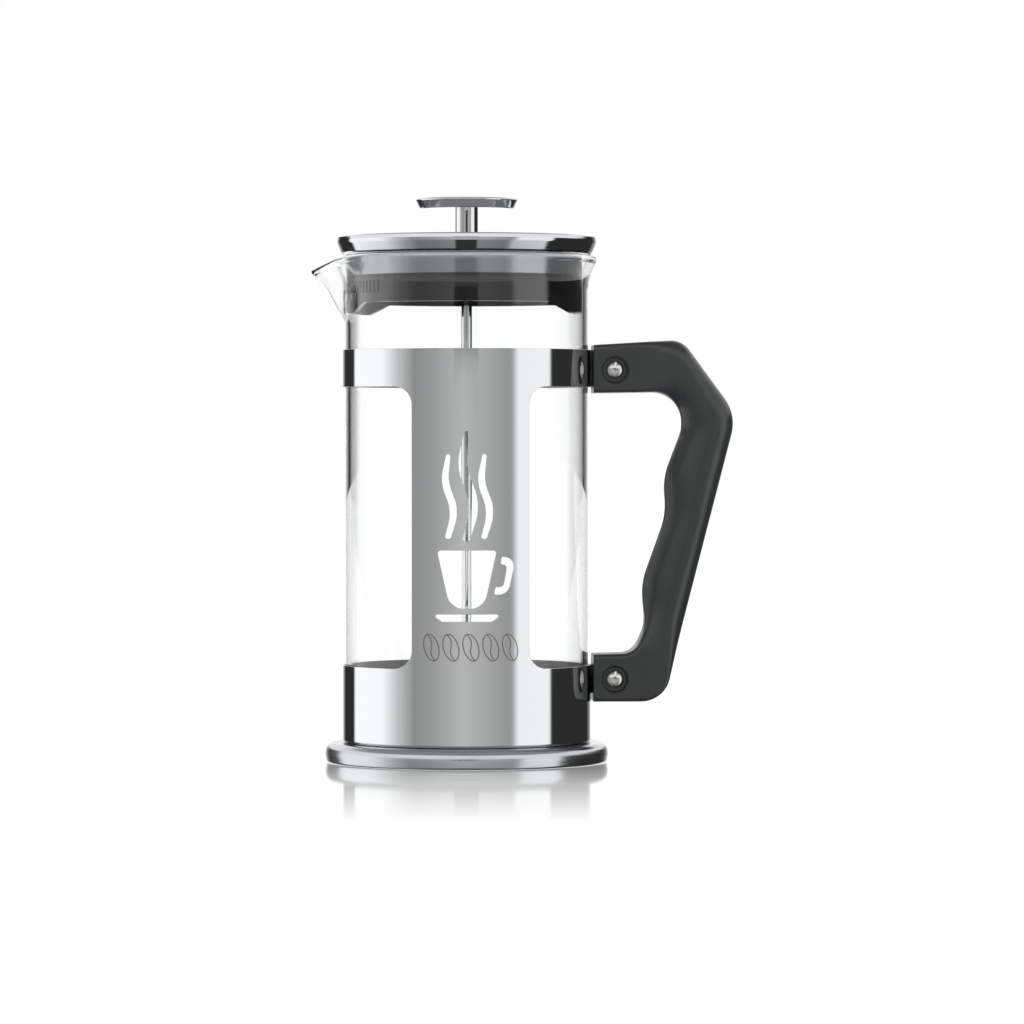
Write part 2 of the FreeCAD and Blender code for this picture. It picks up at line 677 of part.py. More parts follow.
def make_handle_fasteners():
    """A screw, a sleeve nut and an ear spacer at each end of the handle."""
    for level, height in (("upper", d.upper_screw_height), ("lower", d.lower_screw_height)):
        screw = make_slotted_head(f"{level}_handle_screw", d.screw_radius, d.screw_length)
        screw.Label = f"{level}_handle_screw"
        turn_along_y(screw, -recess_floor - d.screw_head_height, d.screw_reach, height,
                     d.screw_slot_tilt.value)
        nut = make_slotted_head(f"{level}_handle_nut", d.nut_barrel_radius, d.nut_barrel_length,
                                d.screw_radius + d.slip)
        nut.Label = f"{level}_handle_nut"
        turn = FreeCAD.Rotation(FreeCAD.Vector(1, 0, 0), 90)
        nut.Placement = FreeCAD.Placement(FreeCAD.Vector(0, 0, 0), turn)
        bind(nut, "Placement.Base.x", d.screw_reach)
        bind(nut, "Placement.Base.y", recess_floor + d.screw_head_height)
        bind(nut, "Placement.Base.z", height)
        pieces.extend([screw, nut])
        spacer_half = d.ear_half_gap - d.slip / 2
        tube_along_y(f"{level}_ear_spacer", d.spacer_radius, d.screw_radius + d.screw_play,
                     -spacer_half, spacer_half * 2, d.screw_reach, height)


# --- the beaker ---

def make_glass_beaker():
    """A straight beaker with a beaded rim and a spout drawn out of the rim on the far side."""
    body = new_body("glass_beaker")
    bead_inner_radius = d.bead_radius - d.bead_thickness
    revolve(body, [
        (0, glass_bottom),
        (d.glass_radius, glass_bottom, d.glass_heel),
        (d.glass_radius, d.flare_start, d.flare_round),
        (d.bead_radius, d.flare_end, d.bead_foot_round),
        (d.bead_radius, d.glass_top, d.bead_top_round),
        (0, d.glass_top),
    ], "Blank")
    spout_height = d.glass_top - d.spout_start
    cone_stretch = math.hypot(1, d.spout_slope.value)
    wall_rise = d.glass_wall / d.spout_slope * cone_stretch
    outside = body.newObject("PartDesign::AdditiveCone", "SpoutOutside")
    cone_point = 0.01
    bind(outside, "Radius1", cone_point)
    bind(outside, "Radius2", spout_height * d.spout_slope)
    bind(outside, "Height", spout_height)
    place_on_axis(outside, -d.spout_center, d.spout_start)
    groove = new_sketch(body, "Inside", "XZ_Plane")
    draw_outline(groove, [
        (0, glass_inside_bottom),
        (glass_inner_radius, glass_inside_bottom, d.glass_heel - d.glass_wall),
        (glass_inner_radius, d.flare_start + d.glass_wall / 2, d.flare_round),
        (bead_inner_radius, d.flare_end, d.bead_foot_round),
        (bead_inner_radius, d.glass_top + OVERCUT),
        (0, d.glass_top + OVERCUT),
    ])
    hollow = body.newObject("PartDesign::Groove", "Hollow")
    hollow.Profile = groove
    hollow.ReferenceAxis = (groove, ["V_Axis"])
    hollow.Angle = 360
    inside_height = spout_height - wall_rise + OVERCUT
    inside = body.newObject("PartDesign::SubtractiveCone", "SpoutInside")
    bind(inside, "Radius1", cone_point)
    bind(inside, "Radius2", inside_height * d.spout_slope)
    bind(inside, "Height", inside_height)
    place_on_axis(inside, -d.spout_center, d.spout_start + wall_rise)
    tip_reach = d.spout_center + (d.spout_tip - d.spout_start) * d.spout_slope
    past_tip = -tip_reach - d.spout_dip_length
    dip = new_sketch(body, "RimDip", "XZ_Plane")
    draw_outline(dip, [
        (-d.spout_dip_start, d.glass_top),
        (-tip_reach, d.spout_tip),
        (past_tip, d.spout_tip - d.spout_dip_drop),
        (past_tip, d.glass_top + OVERCUT),
        (-d.spout_dip_start, d.glass_top + OVERCUT),
    ])
    pocket(body, dip, both_ways=True)


def place_on_axis(item, across, up):
    """Attach a primitive to its body's horizontal plane at a driven place."""
    body = item.getParentGeoFeatureGroup()
    item.AttachmentSupport = (origin_plane(body, "XY_Plane"), [""])
    item.MapMode = "FlatFace"
    bind(item, "AttachmentOffset.Base.x", across)
    bind(item, "AttachmentOffset.Base.z", up)


# --- the lid ---

def make_lid_cover():
    """The spun steel dish with its rolled rim."""
    body = new_body("lid_cover")
    rim_outside = d.lid_radius - d.lid_rim_slope
    hole_radius = d.guide_radius + d.slip
    revolve(body, [
        (hole_radius, lid_bottom),
        (d.lid_foot_radius, lid_bottom, 0.6),
        (d.lid_radius, d.lid_wide_height, 1.2),
        (rim_outside, d.lid_top, d.lid_rim_round),
        (rim_outside - d.lid_rim_width, d.lid_top, d.lid_rim_round),
        (d.lid_foot_radius - d.lid_sheet * 1.5, lid_floor_top, 1.5),
        (hole_radius, lid_floor_top),
    ])


def make_lid_sleeve():
    """The steel collar under the dish, welded on by its inner flange."""
    body = new_body("lid_sleeve")
    inner_radius = d.collar_radius - d.collar_sheet
    revolve(body, [
        (d.collar_flange_radius, lid_bottom - d.collar_sheet),
        (inner_radius, lid_bottom - d.collar_sheet),
        (inner_radius, d.collar_bottom),
        (d.collar_radius, d.collar_bottom),
        (d.collar_radius, lid_bottom, 0.8),
        (d.collar_flange_radius, lid_bottom),
    ])


def make_lid_skirt():
    """The plastic insert: a closed top, a long skirt with two tabs, and slots on the spout's side."""
    body = new_body("lid_skirt")
    inner_radius = d.collar_radius - d.skirt_wall
    revolve(body, [
        (inner_radius, d.skirt_tab_bottom),
        (d.collar_radius, d.skirt_tab_bottom, 0.6),
        (d.collar_radius, d.collar_bottom - 0.1),
        (spigot_radius, d.collar_bottom - 0.1),
        (spigot_radius, skirt_top, 0.6),
        (d.guide_radius + d.slip, skirt_top),
        (d.guide_radius + d.slip, skirt_web_bottom),
        (inner_radius, skirt_web_bottom, 2.0),
    ])
    tabs = new_sketch(body, "TabCut", "XZ_Plane")
    draw_outline(tabs, [
        (-d.tab_flat, d.skirt_tab_bottom - OVERCUT),
        (d.tab_flat, d.skirt_tab_bottom - OVERCUT),
        (d.tab_flat, d.skirt_tab_bottom, 1.0),
        (d.tab_slope, d.skirt_bottom, 1.5),
        (-d.tab_slope, d.skirt_bottom, 1.5),
        (-d.tab_flat, d.skirt_tab_bottom, 1.0),
    ])
    pocket(body, tabs, both_ways=True)
    slot = new_sketch(body, "StrainerSlot", "XY_Plane", d.slot_bottom)
    start = math.radians(180 - d.slot_spread.value / 2)
    along = FreeCAD.Vector(math.cos(start), math.sin(start), 0)
    across = FreeCAD.Vector(-along.y, along.x, 0) * (d.slot_width.value / 2)
    near = along * (inner_radius.value - OVERCUT)
    far = along * (d.collar_radius.value + OVERCUT)
    draw_outline(slot, [(point.x, point.y) for point in
                        (near - across, far - across, far + across, near + across)])
    cut = pocket(body, slot, d.slot_top - d.slot_bottom, flipped=True)
    polar_pattern(body, cut, slot, STRAINER_SLOTS, d.slot_spread)
    body.Placement.Rotation = FreeCAD.Rotation(FreeCAD.Vector(0, 0, 1), 0)
    bind(body, "Placement.Rotation.Angle", d.lid_turn)


def make_rod_guide():
    """The flanged bush in the middle of the lid, with its washer and nut under the lid."""
    body = new_body("rod_guide")
    bore = d.rod_radius + d.slip
    revolve(body, [
        (bore, d.guide_bottom),
        (d.guide_radius, d.guide_bottom, 0.4),
        (d.guide_radius, lid_floor_top),
        (d.guide_flange_radius, lid_floor_top),
        (d.guide_flange_radius, guide_flange_top, 0.7),
        (bore, guide_flange_top),
    ])
    washer_bottom = skirt_web_bottom - d.washer_thickness
    washer = new_body("rod_guide_washer")
    revolve(washer, [
        (d.guide_radius + d.slip, washer_bottom),
        (d.washer_radius, washer_bottom),
        (d.washer_radius, skirt_web_bottom),
        (d.guide_radius + d.slip, skirt_web_bottom),
    ])
    nut = new_body("rod_guide_nut")
    outline = new_sketch(nut, "HexOutline", "XY_Plane", washer_bottom - d.nut_height)
    corners = []
    for angle in range(0, 360, 60):
        turn = math.radians(angle)
        corners.append((d.nut_radius * round(math.cos(turn), 6), d.nut_radius * round(math.sin(turn), 6)))
    draw_outline(outline, corners)
    pad(nut, outline, d.nut_height)
    thread = new_sketch(nut, "Thread", "XY_Plane", washer_bottom - d.nut_height)
    draw_circle(thread, d.guide_radius + d.slip)
    pocket(nut, thread, d.nut_height, flipped=True)


# --- the plunger ---

def make_plunger_rod():
    """A plain rod with chamfered ends."""
    body = new_body("plunger_rod")
    chamfer = 0.4
    revolve(body, [
        (0, d.rod_bottom),
        (d.rod_radius - chamfer, d.rod_bottom),
        (d.rod_radius, d.rod_bottom + chamfer),
        (d.rod_radius, d.rod_top - chamfer),
        (d.rod_radius - chamfer, d.rod_top),
        (0, d.rod_top),
    ])


def make_knob():
    """The knob, an upturned plate with a dished top, and the sleeve under it."""
    body = new_body("knob")
    bore = d.rod_radius + d.slip
    rim_outside = d.knob_radius - d.knob_rim_edge
    rim_inside = rim_outside - d.knob_rim_width
    revolve(body, [
        (bore, d.knob_bottom),
        (d.knob_foot_radius, d.knob_bottom, 0.8),
        (d.knob_radius, d.knob_top - d.knob_rim_edge, 0.6),
        (rim_outside, d.knob_top, 0.5),
        (rim_inside, d.knob_top, 0.6),
        (rim_inside - d.knob_rim_slope, d.knob_top - d.knob_dish, 1.2),
        (0, d.knob_top - d.knob_dish),
        (0, d.rod_top + 0.1),
        (bore, d.rod_top + 0.1),
    ])
    stem = new_body("knob_stem")
    revolve(stem, [
        (bore, stem_bottom),
        (d.stem_radius, stem_bottom, 0.4),
        (d.stem_radius, d.knob_bottom),
        (bore, d.knob_bottom),
    ])


def plain_ring(label, inner_radius, outer_radius, bottom, top, rounding=0.3):
    """A flat ring or bush with its outer edges rounded."""
    body = new_body(label)
    revolve(body, [
        (inner_radius, bottom),
        (outer_radius, bottom, rounding),
        (outer_radius, top, rounding),
        (inner_radius, top),
    ])
    return body


def drill_ring(body, bottom, sheet_thickness, circles):
    """Drill rings of holes through a flat plate: each circle is (holes, distance out, hole radius)."""
    for number, (holes, reach, radius) in enumerate(circles, start=1):
        hole = new_sketch(body, f"HoleRing{number}", "XY_Plane", bottom)
        draw_circle(hole, radius, reach)
        cut = pocket(body, hole, sheet_thickness, flipped=True)
        polar_pattern(body, cut, hole, holes)


def make_filter():
    """The stack on the rod's end, from the hub up to the shoulder nut."""
    hole_radius = d.rod_radius + d.slip
    plain_ring("hub_nut", hole_radius, d.hub_radius, d.hub_bottom, cross_bottom)
    cross = plain_ring("cross_plate", hole_radius, d.cross_radius, cross_bottom, mesh_bottom)
    drill_ring(cross, cross_bottom, d.cross_sheet, CROSS_PLATE_HOLES)
    gauze = new_body("filter_mesh")
    inner_lip = d.mesh_radius - d.mesh_thickness
    revolve(gauze, [
        (hole_radius, mesh_bottom),
        (d.mesh_radius, mesh_bottom, 1.0),
        (d.mesh_radius, mesh_bottom + d.mesh_lip),
        (inner_lip, mesh_bottom + d.mesh_lip),
        (inner_lip, mesh_top, 0.6),
        (hole_radius, mesh_top),
    ])
    spring = doc.addObject("Part::Torus", "edge_spring")
    spring.Label = "edge_spring"
    bind(spring, "Radius1", d.spring_ring_radius)
    bind(spring, "Radius2", d.spring_coil_radius)
    bind(spring, "Placement.Base.z", mesh_top + d.spring_coil_radius + 0.05)
    pieces.append(spring)
    plate = plain_ring("spring_plate", hole_radius, d.spring_plate_radius, mesh_top, spring_plate_top)
    drill_ring(plate, mesh_top, d.spring_plate_sheet, SPRING_PLATE_HOLES)
    plain_ring("rod_collar", hole_radius, d.collar_nut_radius, spring_plate_top,
               spring_plate_top + d.collar_nut_height, 0.8)


def check_document():
    """Stop if any object of the document failed or any piece is not one sound solid."""
    doc.recompute()
    for item in doc.Objects:
        if "Invalid" in item.State or "Error" in item.State:
            raise RuntimeError(f"{item.Name} failed: {item.State}")
    for piece in pieces:
        if piece.Shape.isNull() or not piece.Shape.isValid():
            raise RuntimeError(f"{piece.Label} has no sound shape")
        if len(piece.Shape.Solids) != 1:
            raise RuntimeError(f"{piece.Label} has {len(piece.Shape.Solids)} solids")


def write_pieces():
    """Write each piece to its own file and print its box and volume."""
    os.makedirs("parts", exist_ok=True)
    for piece in pieces:
        piece.Shape.exportStep(f"parts/{piece.Label}.step")
        box = piece.Shape.BoundBox
        print(f"{piece.Label:20s} {piece.Shape.Volume:10.1f} mm3"
              f"  X {box.XMin:7.2f} {box.XMax:7.2f}  Y {box.YMin:7.2f} {box.YMax:7.2f}"
              f"  Z {box.ZMin:7.2f} {box.ZMax:7.2f}")


make_base_ring()
make_frame_shell()
make_base_plate()
make_base_pad()
make_handle()
make_handle_fasteners()
make_glass_beaker()
make_lid_cover()
make_lid_sleeve()
make_lid_skirt()
make_rod_guide()
make_plunger_rod()
make_knob()
make_filter()
check_document()
write_pieces()
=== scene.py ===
import math

import bmesh
import bpy
from mathutils import Matrix, Vector


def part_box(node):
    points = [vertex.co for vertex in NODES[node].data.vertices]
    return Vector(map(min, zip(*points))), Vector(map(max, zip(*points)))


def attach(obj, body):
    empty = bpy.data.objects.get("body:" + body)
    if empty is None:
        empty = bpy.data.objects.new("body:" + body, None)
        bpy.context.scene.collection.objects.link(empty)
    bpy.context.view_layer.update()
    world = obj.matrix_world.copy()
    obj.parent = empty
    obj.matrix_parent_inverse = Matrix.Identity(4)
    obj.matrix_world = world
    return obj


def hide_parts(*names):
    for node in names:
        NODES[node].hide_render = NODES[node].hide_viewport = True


bl_info = {
    "name": "French Press",
    "version": (1, 0, 0),
    "blender": (4, 5, 0),
    "location": "View3D > Sidebar > French Press",
    "description": "Builds the looks of a steel and glass french press on its packed parts",
    "category": "Add Mesh",
}

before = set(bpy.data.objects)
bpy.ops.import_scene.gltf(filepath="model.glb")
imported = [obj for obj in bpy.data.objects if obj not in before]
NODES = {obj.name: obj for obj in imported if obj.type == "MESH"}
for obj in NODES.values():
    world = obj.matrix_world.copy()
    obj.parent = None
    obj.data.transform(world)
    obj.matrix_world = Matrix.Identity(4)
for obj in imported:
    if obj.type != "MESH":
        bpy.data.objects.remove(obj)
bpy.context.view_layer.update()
MM = 0.001
FULL_TURN = 2 * math.pi
CLOSE = 0.02          # millimetres within which two places count as one
ARC_STEP = 8.0        # degrees that one facet of a rounded corner turns
OVERCUT = 2.0         # millimetres that a cutting shape runs past what it cuts


# --- small tools: sizes that a user can change ---

def millimetres(label, meaning, value):
    """A plain number that counts millimetres."""
    return bpy.props.FloatProperty(name=label, description=f"{meaning} in mm", default=value)


def metres(label, meaning, value):
    """A length in Blender's own unit."""
    return bpy.props.FloatProperty(name=label, description=meaning, default=value, unit="LENGTH")


def degrees(label, meaning, value):
    """An angle, given in degrees and kept in radians."""
    angle = math.radians(value)
    return bpy.props.FloatProperty(name=label, description=meaning, default=angle, subtype="ANGLE")


# --- small tools: colours and materials ---

def linear(hex_colour, alpha=1.0):
    """A linear colour from an sRGB hex value such as C8CACC."""
    channels = [int(hex_colour[place:place + 2], 16) / 255 for place in (0, 2, 4)]
    return tuple(c / 12.92 if c <= 0.04045 else ((c + 0.055) / 1.055) ** 2.4 for c in channels) + (alpha,)


def node(tree, kind, inputs=None, **settings):
    """Add a shader node, set its properties, and set or link its inputs."""
    made = tree.nodes.new(kind)
    for name, value in settings.items():
        setattr(made, name, value)
    for name, value in (inputs or {}).items():
        socket = made.inputs[name]
        if isinstance(value, bpy.types.NodeSocket):
            tree.links.new(value, socket)
        else:
            socket.default_value = value
    return made


def new_material(name, surface):
    """A material: surface(tree, shader, place) works on its Principled BSDF and its Object place."""
    made = bpy.data.materials.get(name)
    if made is not None:
        return made
    made = bpy.data.materials.new(name)
    made.use_nodes = True
    place = node(made.node_tree, "ShaderNodeTexCoord").outputs["Object"]
    surface(made.node_tree, made.node_tree.nodes["Principled BSDF"], place)
    return made


def set_shader(shader, **values):
    """Set the shader's own sockets from keywords such as metallic or coat_weight."""
    for name, value in values.items():
        socket = name.replace("_", " ").title().replace("Ior", "IOR")
        shader.inputs[socket].default_value = value


def give(material, *pieces):
    """Make one material the whole finish of each piece."""
    for piece in pieces:
        piece.data.materials.clear()
        piece.data.materials.append(material)


# --- small tools: shaping with Blender's own operators ---

def select_none():
    """Go back to object mode with nothing selected."""
    if bpy.context.mode != "OBJECT":
        bpy.ops.object.mode_set(mode="OBJECT")
    bpy.ops.object.select_all(action="DESELECT")


def select_only(piece):
    """Make one piece the active and only selected object."""
    select_none()
    bpy.context.view_layer.objects.active = piece
    piece.select_set(True)


def enter_edit(piece, select="SELECT"):
    """Open one piece in edit mode with all of it selected, or none."""
    select_only(piece)
    bpy.ops.object.mode_set(mode="EDIT")
    bpy.ops.mesh.select_mode(type="VERT")
    bpy.ops.mesh.select_all(action=select)


def leave_edit():
    """Back to object mode."""
    bpy.ops.object.mode_set(mode="OBJECT")


def select_vertices(piece, chosen):
    """In edit mode, select the vertices whose place, in millimetres, the test picks."""
    bpy.ops.mesh.select_all(action="DESELECT")
    shape = bmesh.from_edit_mesh(piece.data)
    for vertex in shape.verts:
        vertex.select_set(chosen(vertex.co / MM))
    shape.select_flush(True)
    bmesh.update_edit_mesh(piece.data)


def turn_outwards():
    """In edit mode, point every face outwards."""
    bpy.ops.mesh.select_all(action="SELECT")
    bpy.ops.mesh.normals_make_consistent(inside=False)


def apply_modifier(piece, kind, **settings):
    """Add a modifier, set it up and apply it."""
    select_only(piece)
    bpy.ops.object.modifier_add(type=kind)
    modifier = piece.modifiers[-1]
    for name, value in settings.items():
        setattr(modifier, name, value)
    bpy.ops.object.modifier_apply(modifier=modifier.name)


def flat_outline(name, corners):
    """Start a piece as a flat filled outline in the XZ plane, with its corners rounded by bevels.

    Each corner is (across, up) or (across, up, rounding) in millimetres.
    """
    select_none()
    bpy.ops.mesh.primitive_circle_add(vertices=len(corners), fill_type="NGON")
    piece = bpy.context.object
    piece.name = name
    places = [Vector((corner[0], 0, corner[1])) for corner in corners]
    for vertex, place in zip(piece.data.vertices, places):
        vertex.co = place * MM
    enter_edit(piece)
    for index, corner in enumerate(corners):
        if len(corner) < 3:
            continue
        place = places[index]
        to_before = places[index - 1] - place
        to_after = places[(index + 1) % len(places)] - place
        inside = to_before.angle(to_after)
        facets = max(2, round(math.degrees(math.pi - inside) / ARC_STEP))
        select_vertices(piece, lambda at: (at - place).length < CLOSE / 10)
        bpy.ops.mesh.bevel(offset_type="OFFSET", offset=corner[2] / math.tan(inside / 2) * MM,
                           segments=facets, affect="VERTICES")
    leave_edit()
    return piece


def push_out(piece, start, end):
    """Turn a flat outline into a solid that runs from one distance along Y to another."""
    enter_edit(piece)
    bpy.ops.transform.translate(value=(0, start * MM, 0))
    bpy.ops.mesh.extrude_region_move(TRANSFORM_OT_translate={"value": (0, (end - start) * MM, 0)})
    turn_outwards()
    leave_edit()
    return piece


def lathe(name, corners, steps=256, levels=()):
    """Spin an outline of (radius, height) corners once round the vertical axis into a closed piece.

    The levels are heights at which the outline gets an extra point, for shaping afterwards.
    """
    piece = flat_outline(name, corners)
    enter_edit(piece)
    bpy.ops.mesh.delete(type="ONLY_FACE")
    for level in levels:
        bpy.ops.mesh.select_all(action="SELECT")
        bpy.ops.mesh.bisect(plane_co=(0, 0, level * MM), plane_no=(0, 0, 1))
    bpy.ops.mesh.select_all(action="SELECT")
    bpy.ops.mesh.spin(steps=steps, angle=FULL_TURN, center=(0, 0, 0), axis=(0, 0, 1))
    bpy.ops.mesh.select_all(action="SELECT")
    bpy.ops.mesh.remove_doubles(threshold=CLOSE / 20 * MM)
    bpy.ops.mesh.delete_loose(use_verts=True, use_edges=True, use_faces=False)
    turn_outwards()
    leave_edit()
    return piece


def smooth(piece, degrees=35, weighted=True):
    """Shade a piece smooth up to an angle, flats kept flat where weighted."""
    select_only(piece)
    bpy.ops.object.shade_smooth_by_angle(angle=math.radians(degrees))
    if weighted:
        apply_modifier(piece, "WEIGHTED_NORMAL", keep_sharp=True)


def round_edges(piece, width, turn, segments=2, clamp=True):
    """Bevel the edges that turn by more than an angle in degrees; the width is in millimetres."""
    apply_modifier(piece, "BEVEL", width=width * MM, segments=segments, limit_method="ANGLE",
                   angle_limit=math.radians(turn), use_clamp_overlap=clamp)


def join(pieces):
    """Join pieces that don't touch into the first of them."""
    select_only(pieces[0])
    for piece in pieces:
        piece.select_set(True)
    bpy.ops.object.join()
    return pieces[0]


def combine(piece, tool, operation="DIFFERENCE"):
    """Cut a tool shape out of a piece, or weld it on, and throw the tool away."""
    apply_modifier(piece, "BOOLEAN", object=tool, operation=operation, solver="EXACT")
    bpy.data.objects.remove(tool)


def box_of(name):
    """The low and high corners of a CAD node's box in millimetres."""
    return [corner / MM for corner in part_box(name)]


def block(name, low, high):
    """A plain box between two corners in millimetres, used as a cutting tool."""
    outline = [(low[0], low[2]), (high[0], low[2]), (high[0], high[2]), (low[0], high[2])]
    return push_out(flat_outline(name, outline), low[1], high[1])


def finish_piece(piece, material, body, slot, *replaced):
    """Give a new piece its material and body, and hide the CAD nodes that it stands for. The slot is not
    used.
    """
    if material is not None:
        give(material, piece)
    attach(piece, body)
    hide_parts(*replaced)
    return piece


# --- materials, each named for what the real one is ---

def bright_steel(name, tint, roughness, marks, grain_mm, unevenness=0.02):
    """Stainless steel polished bright: marks says how the fine polishing lines are stretched."""
    def surface(tree, shader, place):
        set_shader(shader, base_color=linear(tint), metallic=1.0)
        stretched = node(tree, "ShaderNodeMapping", {"Vector": place, "Scale": marks})
        lines = node(tree, "ShaderNodeTexNoise", {
            "Vector": stretched.outputs["Vector"], "Scale": 1 / (grain_mm * MM), "Detail": 3.0})
        smudges = node(tree, "ShaderNodeTexNoise", {"Vector": place, "Scale": 1 / (14 * MM), "Detail": 2.0})
        blend = node(tree, "ShaderNodeMath", {
            0: lines.outputs["Fac"], 1: smudges.outputs["Fac"]}, operation="ADD")
        spread = node(tree, "ShaderNodeMapRange", {
            "Value": blend.outputs[0], "From Min": 0.6, "From Max": 1.4,
            "To Min": roughness * 0.75, "To Max": roughness * 1.35})
        tree.links.new(spread.outputs["Result"], shader.inputs["Roughness"])
        dents = node(tree, "ShaderNodeBump", {
            "Height": lines.outputs["Fac"], "Strength": unevenness, "Distance": 0.05 * MM})
        tree.links.new(dents.outputs["Normal"], shader.inputs["Normal"])
    return new_material(name, surface)


def rolled_mirror_steel():
    """Cold-rolled stainless sheet, buffed upright: a mirror with the faintest vertical lines."""
    return bright_steel("rolled_mirror_stainless_steel", "E4E6E7", 0.05, (1.0, 1.0, 0.06), 0.6)


def rolled_inner_steel():
    """The sheet's inner face, left as it came from the rolls: pale and nearly matt, without reflections."""
    material = bright_steel("as_rolled_stainless_steel", "F2F3F3", 0.6, (1.0, 1.0, 0.3), 0.5, 0.1)
    shader = next(item for item in material.node_tree.nodes if item.type == "BSDF_PRINCIPLED")
    shader.inputs["Metallic"].default_value = 0.35
    return material


def deburred_steel_edge():
    """Sheared edges brushed round: they catch light from every side as a thin pale line."""
    return bright_steel("deburred_stainless_steel_edge", "ECEDED", 0.38, (1.0, 1.0, 1.0), 0.3, 0.2)


def etched_steel():
    """Acid-etched stainless steel: matt, darker and slightly brown where the mirror is gone."""
    return bright_steel("acid_etched_stainless_steel", "8E8780", 0.5, (1.0, 1.0, 1.0), 0.15, 0.4)


def spun_mirror_steel():
    """Stainless steel spun on a lathe and buffed round: the same mirror, with level lines."""
    return bright_steel("spun_mirror_stainless_steel", "DDE0E2", 0.06, (0.08, 0.08, 1.0), 0.5)


def buffed_ring_steel():
    """The foot ring is buffed more coarsely: the same reflections, blurred, and a little greyer."""
    return bright_steel("buffed_stainless_steel", "CFD2D4", 0.2, (0.1, 0.1, 1.0), 0.4, 0.05)


def lid_collar_steel():
    """The lid's inner collar, brushed round and left dull: a grey band behind the glass."""
    return bright_steel("brushed_stainless_steel_collar", "A9ADB0", 0.16, (0.05, 0.05, 1.0), 0.3, 0.06)


def drawn_steel_rod():
    """Drawn and polished stainless rod: bright, with lines along its length."""
    return bright_steel("drawn_stainless_steel_rod", "E2E4E5", 0.06, (1.0, 1.0, 0.05), 0.3)


def pressed_filter_steel():
    """Pressed stainless plate left as rolled: a softer, greyer shine."""
    return bright_steel("pressed_stainless_steel_plate", "C4C6C7", 0.22, (1.0, 0.2, 1.0), 0.4, 0.1)


def nickel_plate():
    """Nickel-plated steel fasteners: a warmer bright grey with tumbled, even scratches."""
    return bright_steel("nickel_plated_steel", "DEDCD8", 0.12, (1.0, 1.0, 1.0), 0.25, 0.08)


def spring_wire():
    """Hard-drawn stainless spring wire: small bright glints between the turns."""
    return bright_steel("hard_drawn_spring_wire", "C9CBCC", 0.18, (1.0, 1.0, 1.0), 0.2, 0.05)


def woven_gauze(thread_mm=0.75):
    """Plain-woven stainless gauze: wires over and under in two directions, with painted shade darkening the
    gaps between them.

    Real threads are about 0.2 mm apart, too fine to show, so they are drawn 0.75 mm apart.
    """
    def surface(tree, shader, place):
        set_shader(shader, metallic=1.0, roughness=0.34)
        waves = []
        for direction in ("X", "Y"):
            waves.append(node(tree, "ShaderNodeTexWave", {
                "Vector": place, "Scale": 0.31416 / (thread_mm * MM), "Distortion": 0.0},
                wave_type="BANDS", bands_direction=direction, wave_profile="SIN").outputs["Fac"])
        height = node(tree, "ShaderNodeMath", {0: waves[0], 1: waves[1]}, operation="MAXIMUM")
        # Painted shade: the colour darkens where the weave lies low, in the gaps between the wires.
        shade = node(tree, "ShaderNodeValToRGB", {"Fac": height.outputs[0]})
        shade.color_ramp.elements[0].position = 0.25
        shade.color_ramp.elements[0].color = linear("303234")
        shade.color_ramp.elements[1].position = 0.7
        shade.color_ramp.elements[1].color = linear("BEC1C3")
        tree.links.new(shade.outputs["Color"], shader.inputs["Base Color"])
        bump = node(tree, "ShaderNodeBump", {
            "Height": height.outputs[0], "Strength": 0.8, "Distance": 0.12 * MM})
        tree.links.new(bump.outputs["Normal"], shader.inputs["Normal"])
    return new_material("woven_stainless_gauze", surface)


def add_grain(tree, shader, place, grain_mm, detail, strength, depth_mm, roughness=None):
    """Noise that dents a surface and, where a range is given, varies its roughness."""
    grain = node(tree, "ShaderNodeTexNoise", {
        "Vector": place, "Scale": 1 / (grain_mm * MM), "Detail": detail})
    if roughness is not None:
        rough = node(tree, "ShaderNodeMapRange", {
            "Value": grain.outputs["Fac"], "To Min": roughness[0], "To Max": roughness[1]})
        tree.links.new(rough.outputs["Result"], shader.inputs["Roughness"])
    bump = node(tree, "ShaderNodeBump", {
        "Height": grain.outputs["Fac"], "Strength": strength, "Distance": depth_mm * MM})
    tree.links.new(bump.outputs["Normal"], shader.inputs["Normal"])


def moulded_nylon():
    """Glass-filled nylon from a spark-eroded mould: charcoal with a fine satin grain."""
    def surface(tree, shader, place):
        set_shader(shader, roughness=0.3, ior=1.6)
        clouds = node(tree, "ShaderNodeTexNoise", {"Vector": place, "Scale": 1 / (9 * MM), "Detail": 2.0})
        shade = node(tree, "ShaderNodeMix", {
            "Factor": clouds.outputs["Fac"], 6: linear("2C3031"), 7: linear("343939")}, data_type="RGBA")
        tree.links.new(shade.outputs[2], shader.inputs["Base Color"])
        add_grain(tree, shader, place, 0.45, 4.0, 0.2, 0.03, roughness=(0.24, 0.36))
    return new_material("moulded_glass_filled_nylon", surface)


def glossy_polypropylene():
    """Black polypropylene from a polished mould: a wet gloss over a nearly black body."""
    def surface(tree, shader, place):
        set_shader(shader, base_color=linear("202123"), ior=1.49)
        add_grain(tree, shader, place, 6, 2.0, 0.05, 0.1, roughness=(0.1, 0.16))
    return new_material("polished_black_polypropylene", surface)


def borosilicate_glass():
    """Blown borosilicate glass, fire polished: clear and sharp, with the slightest cool tint."""
    def surface(tree, shader, place):
        set_shader(shader, roughness=0.0, ior=1.47, transmission_weight=1.0)
        streaks = node(tree, "ShaderNodeTexNoise", {"Vector": place, "Scale": 1 / (40 * MM), "Detail": 1.0})
        tint = node(tree, "ShaderNodeMix", {
            "Factor": streaks.outputs["Fac"], 6: linear("FBFCFC"), 7: linear("FEFEFE")}, data_type="RGBA")
        tree.links.new(tint.outputs[2], shader.inputs["Base Color"])
    return new_material("blown_borosilicate_glass", surface)


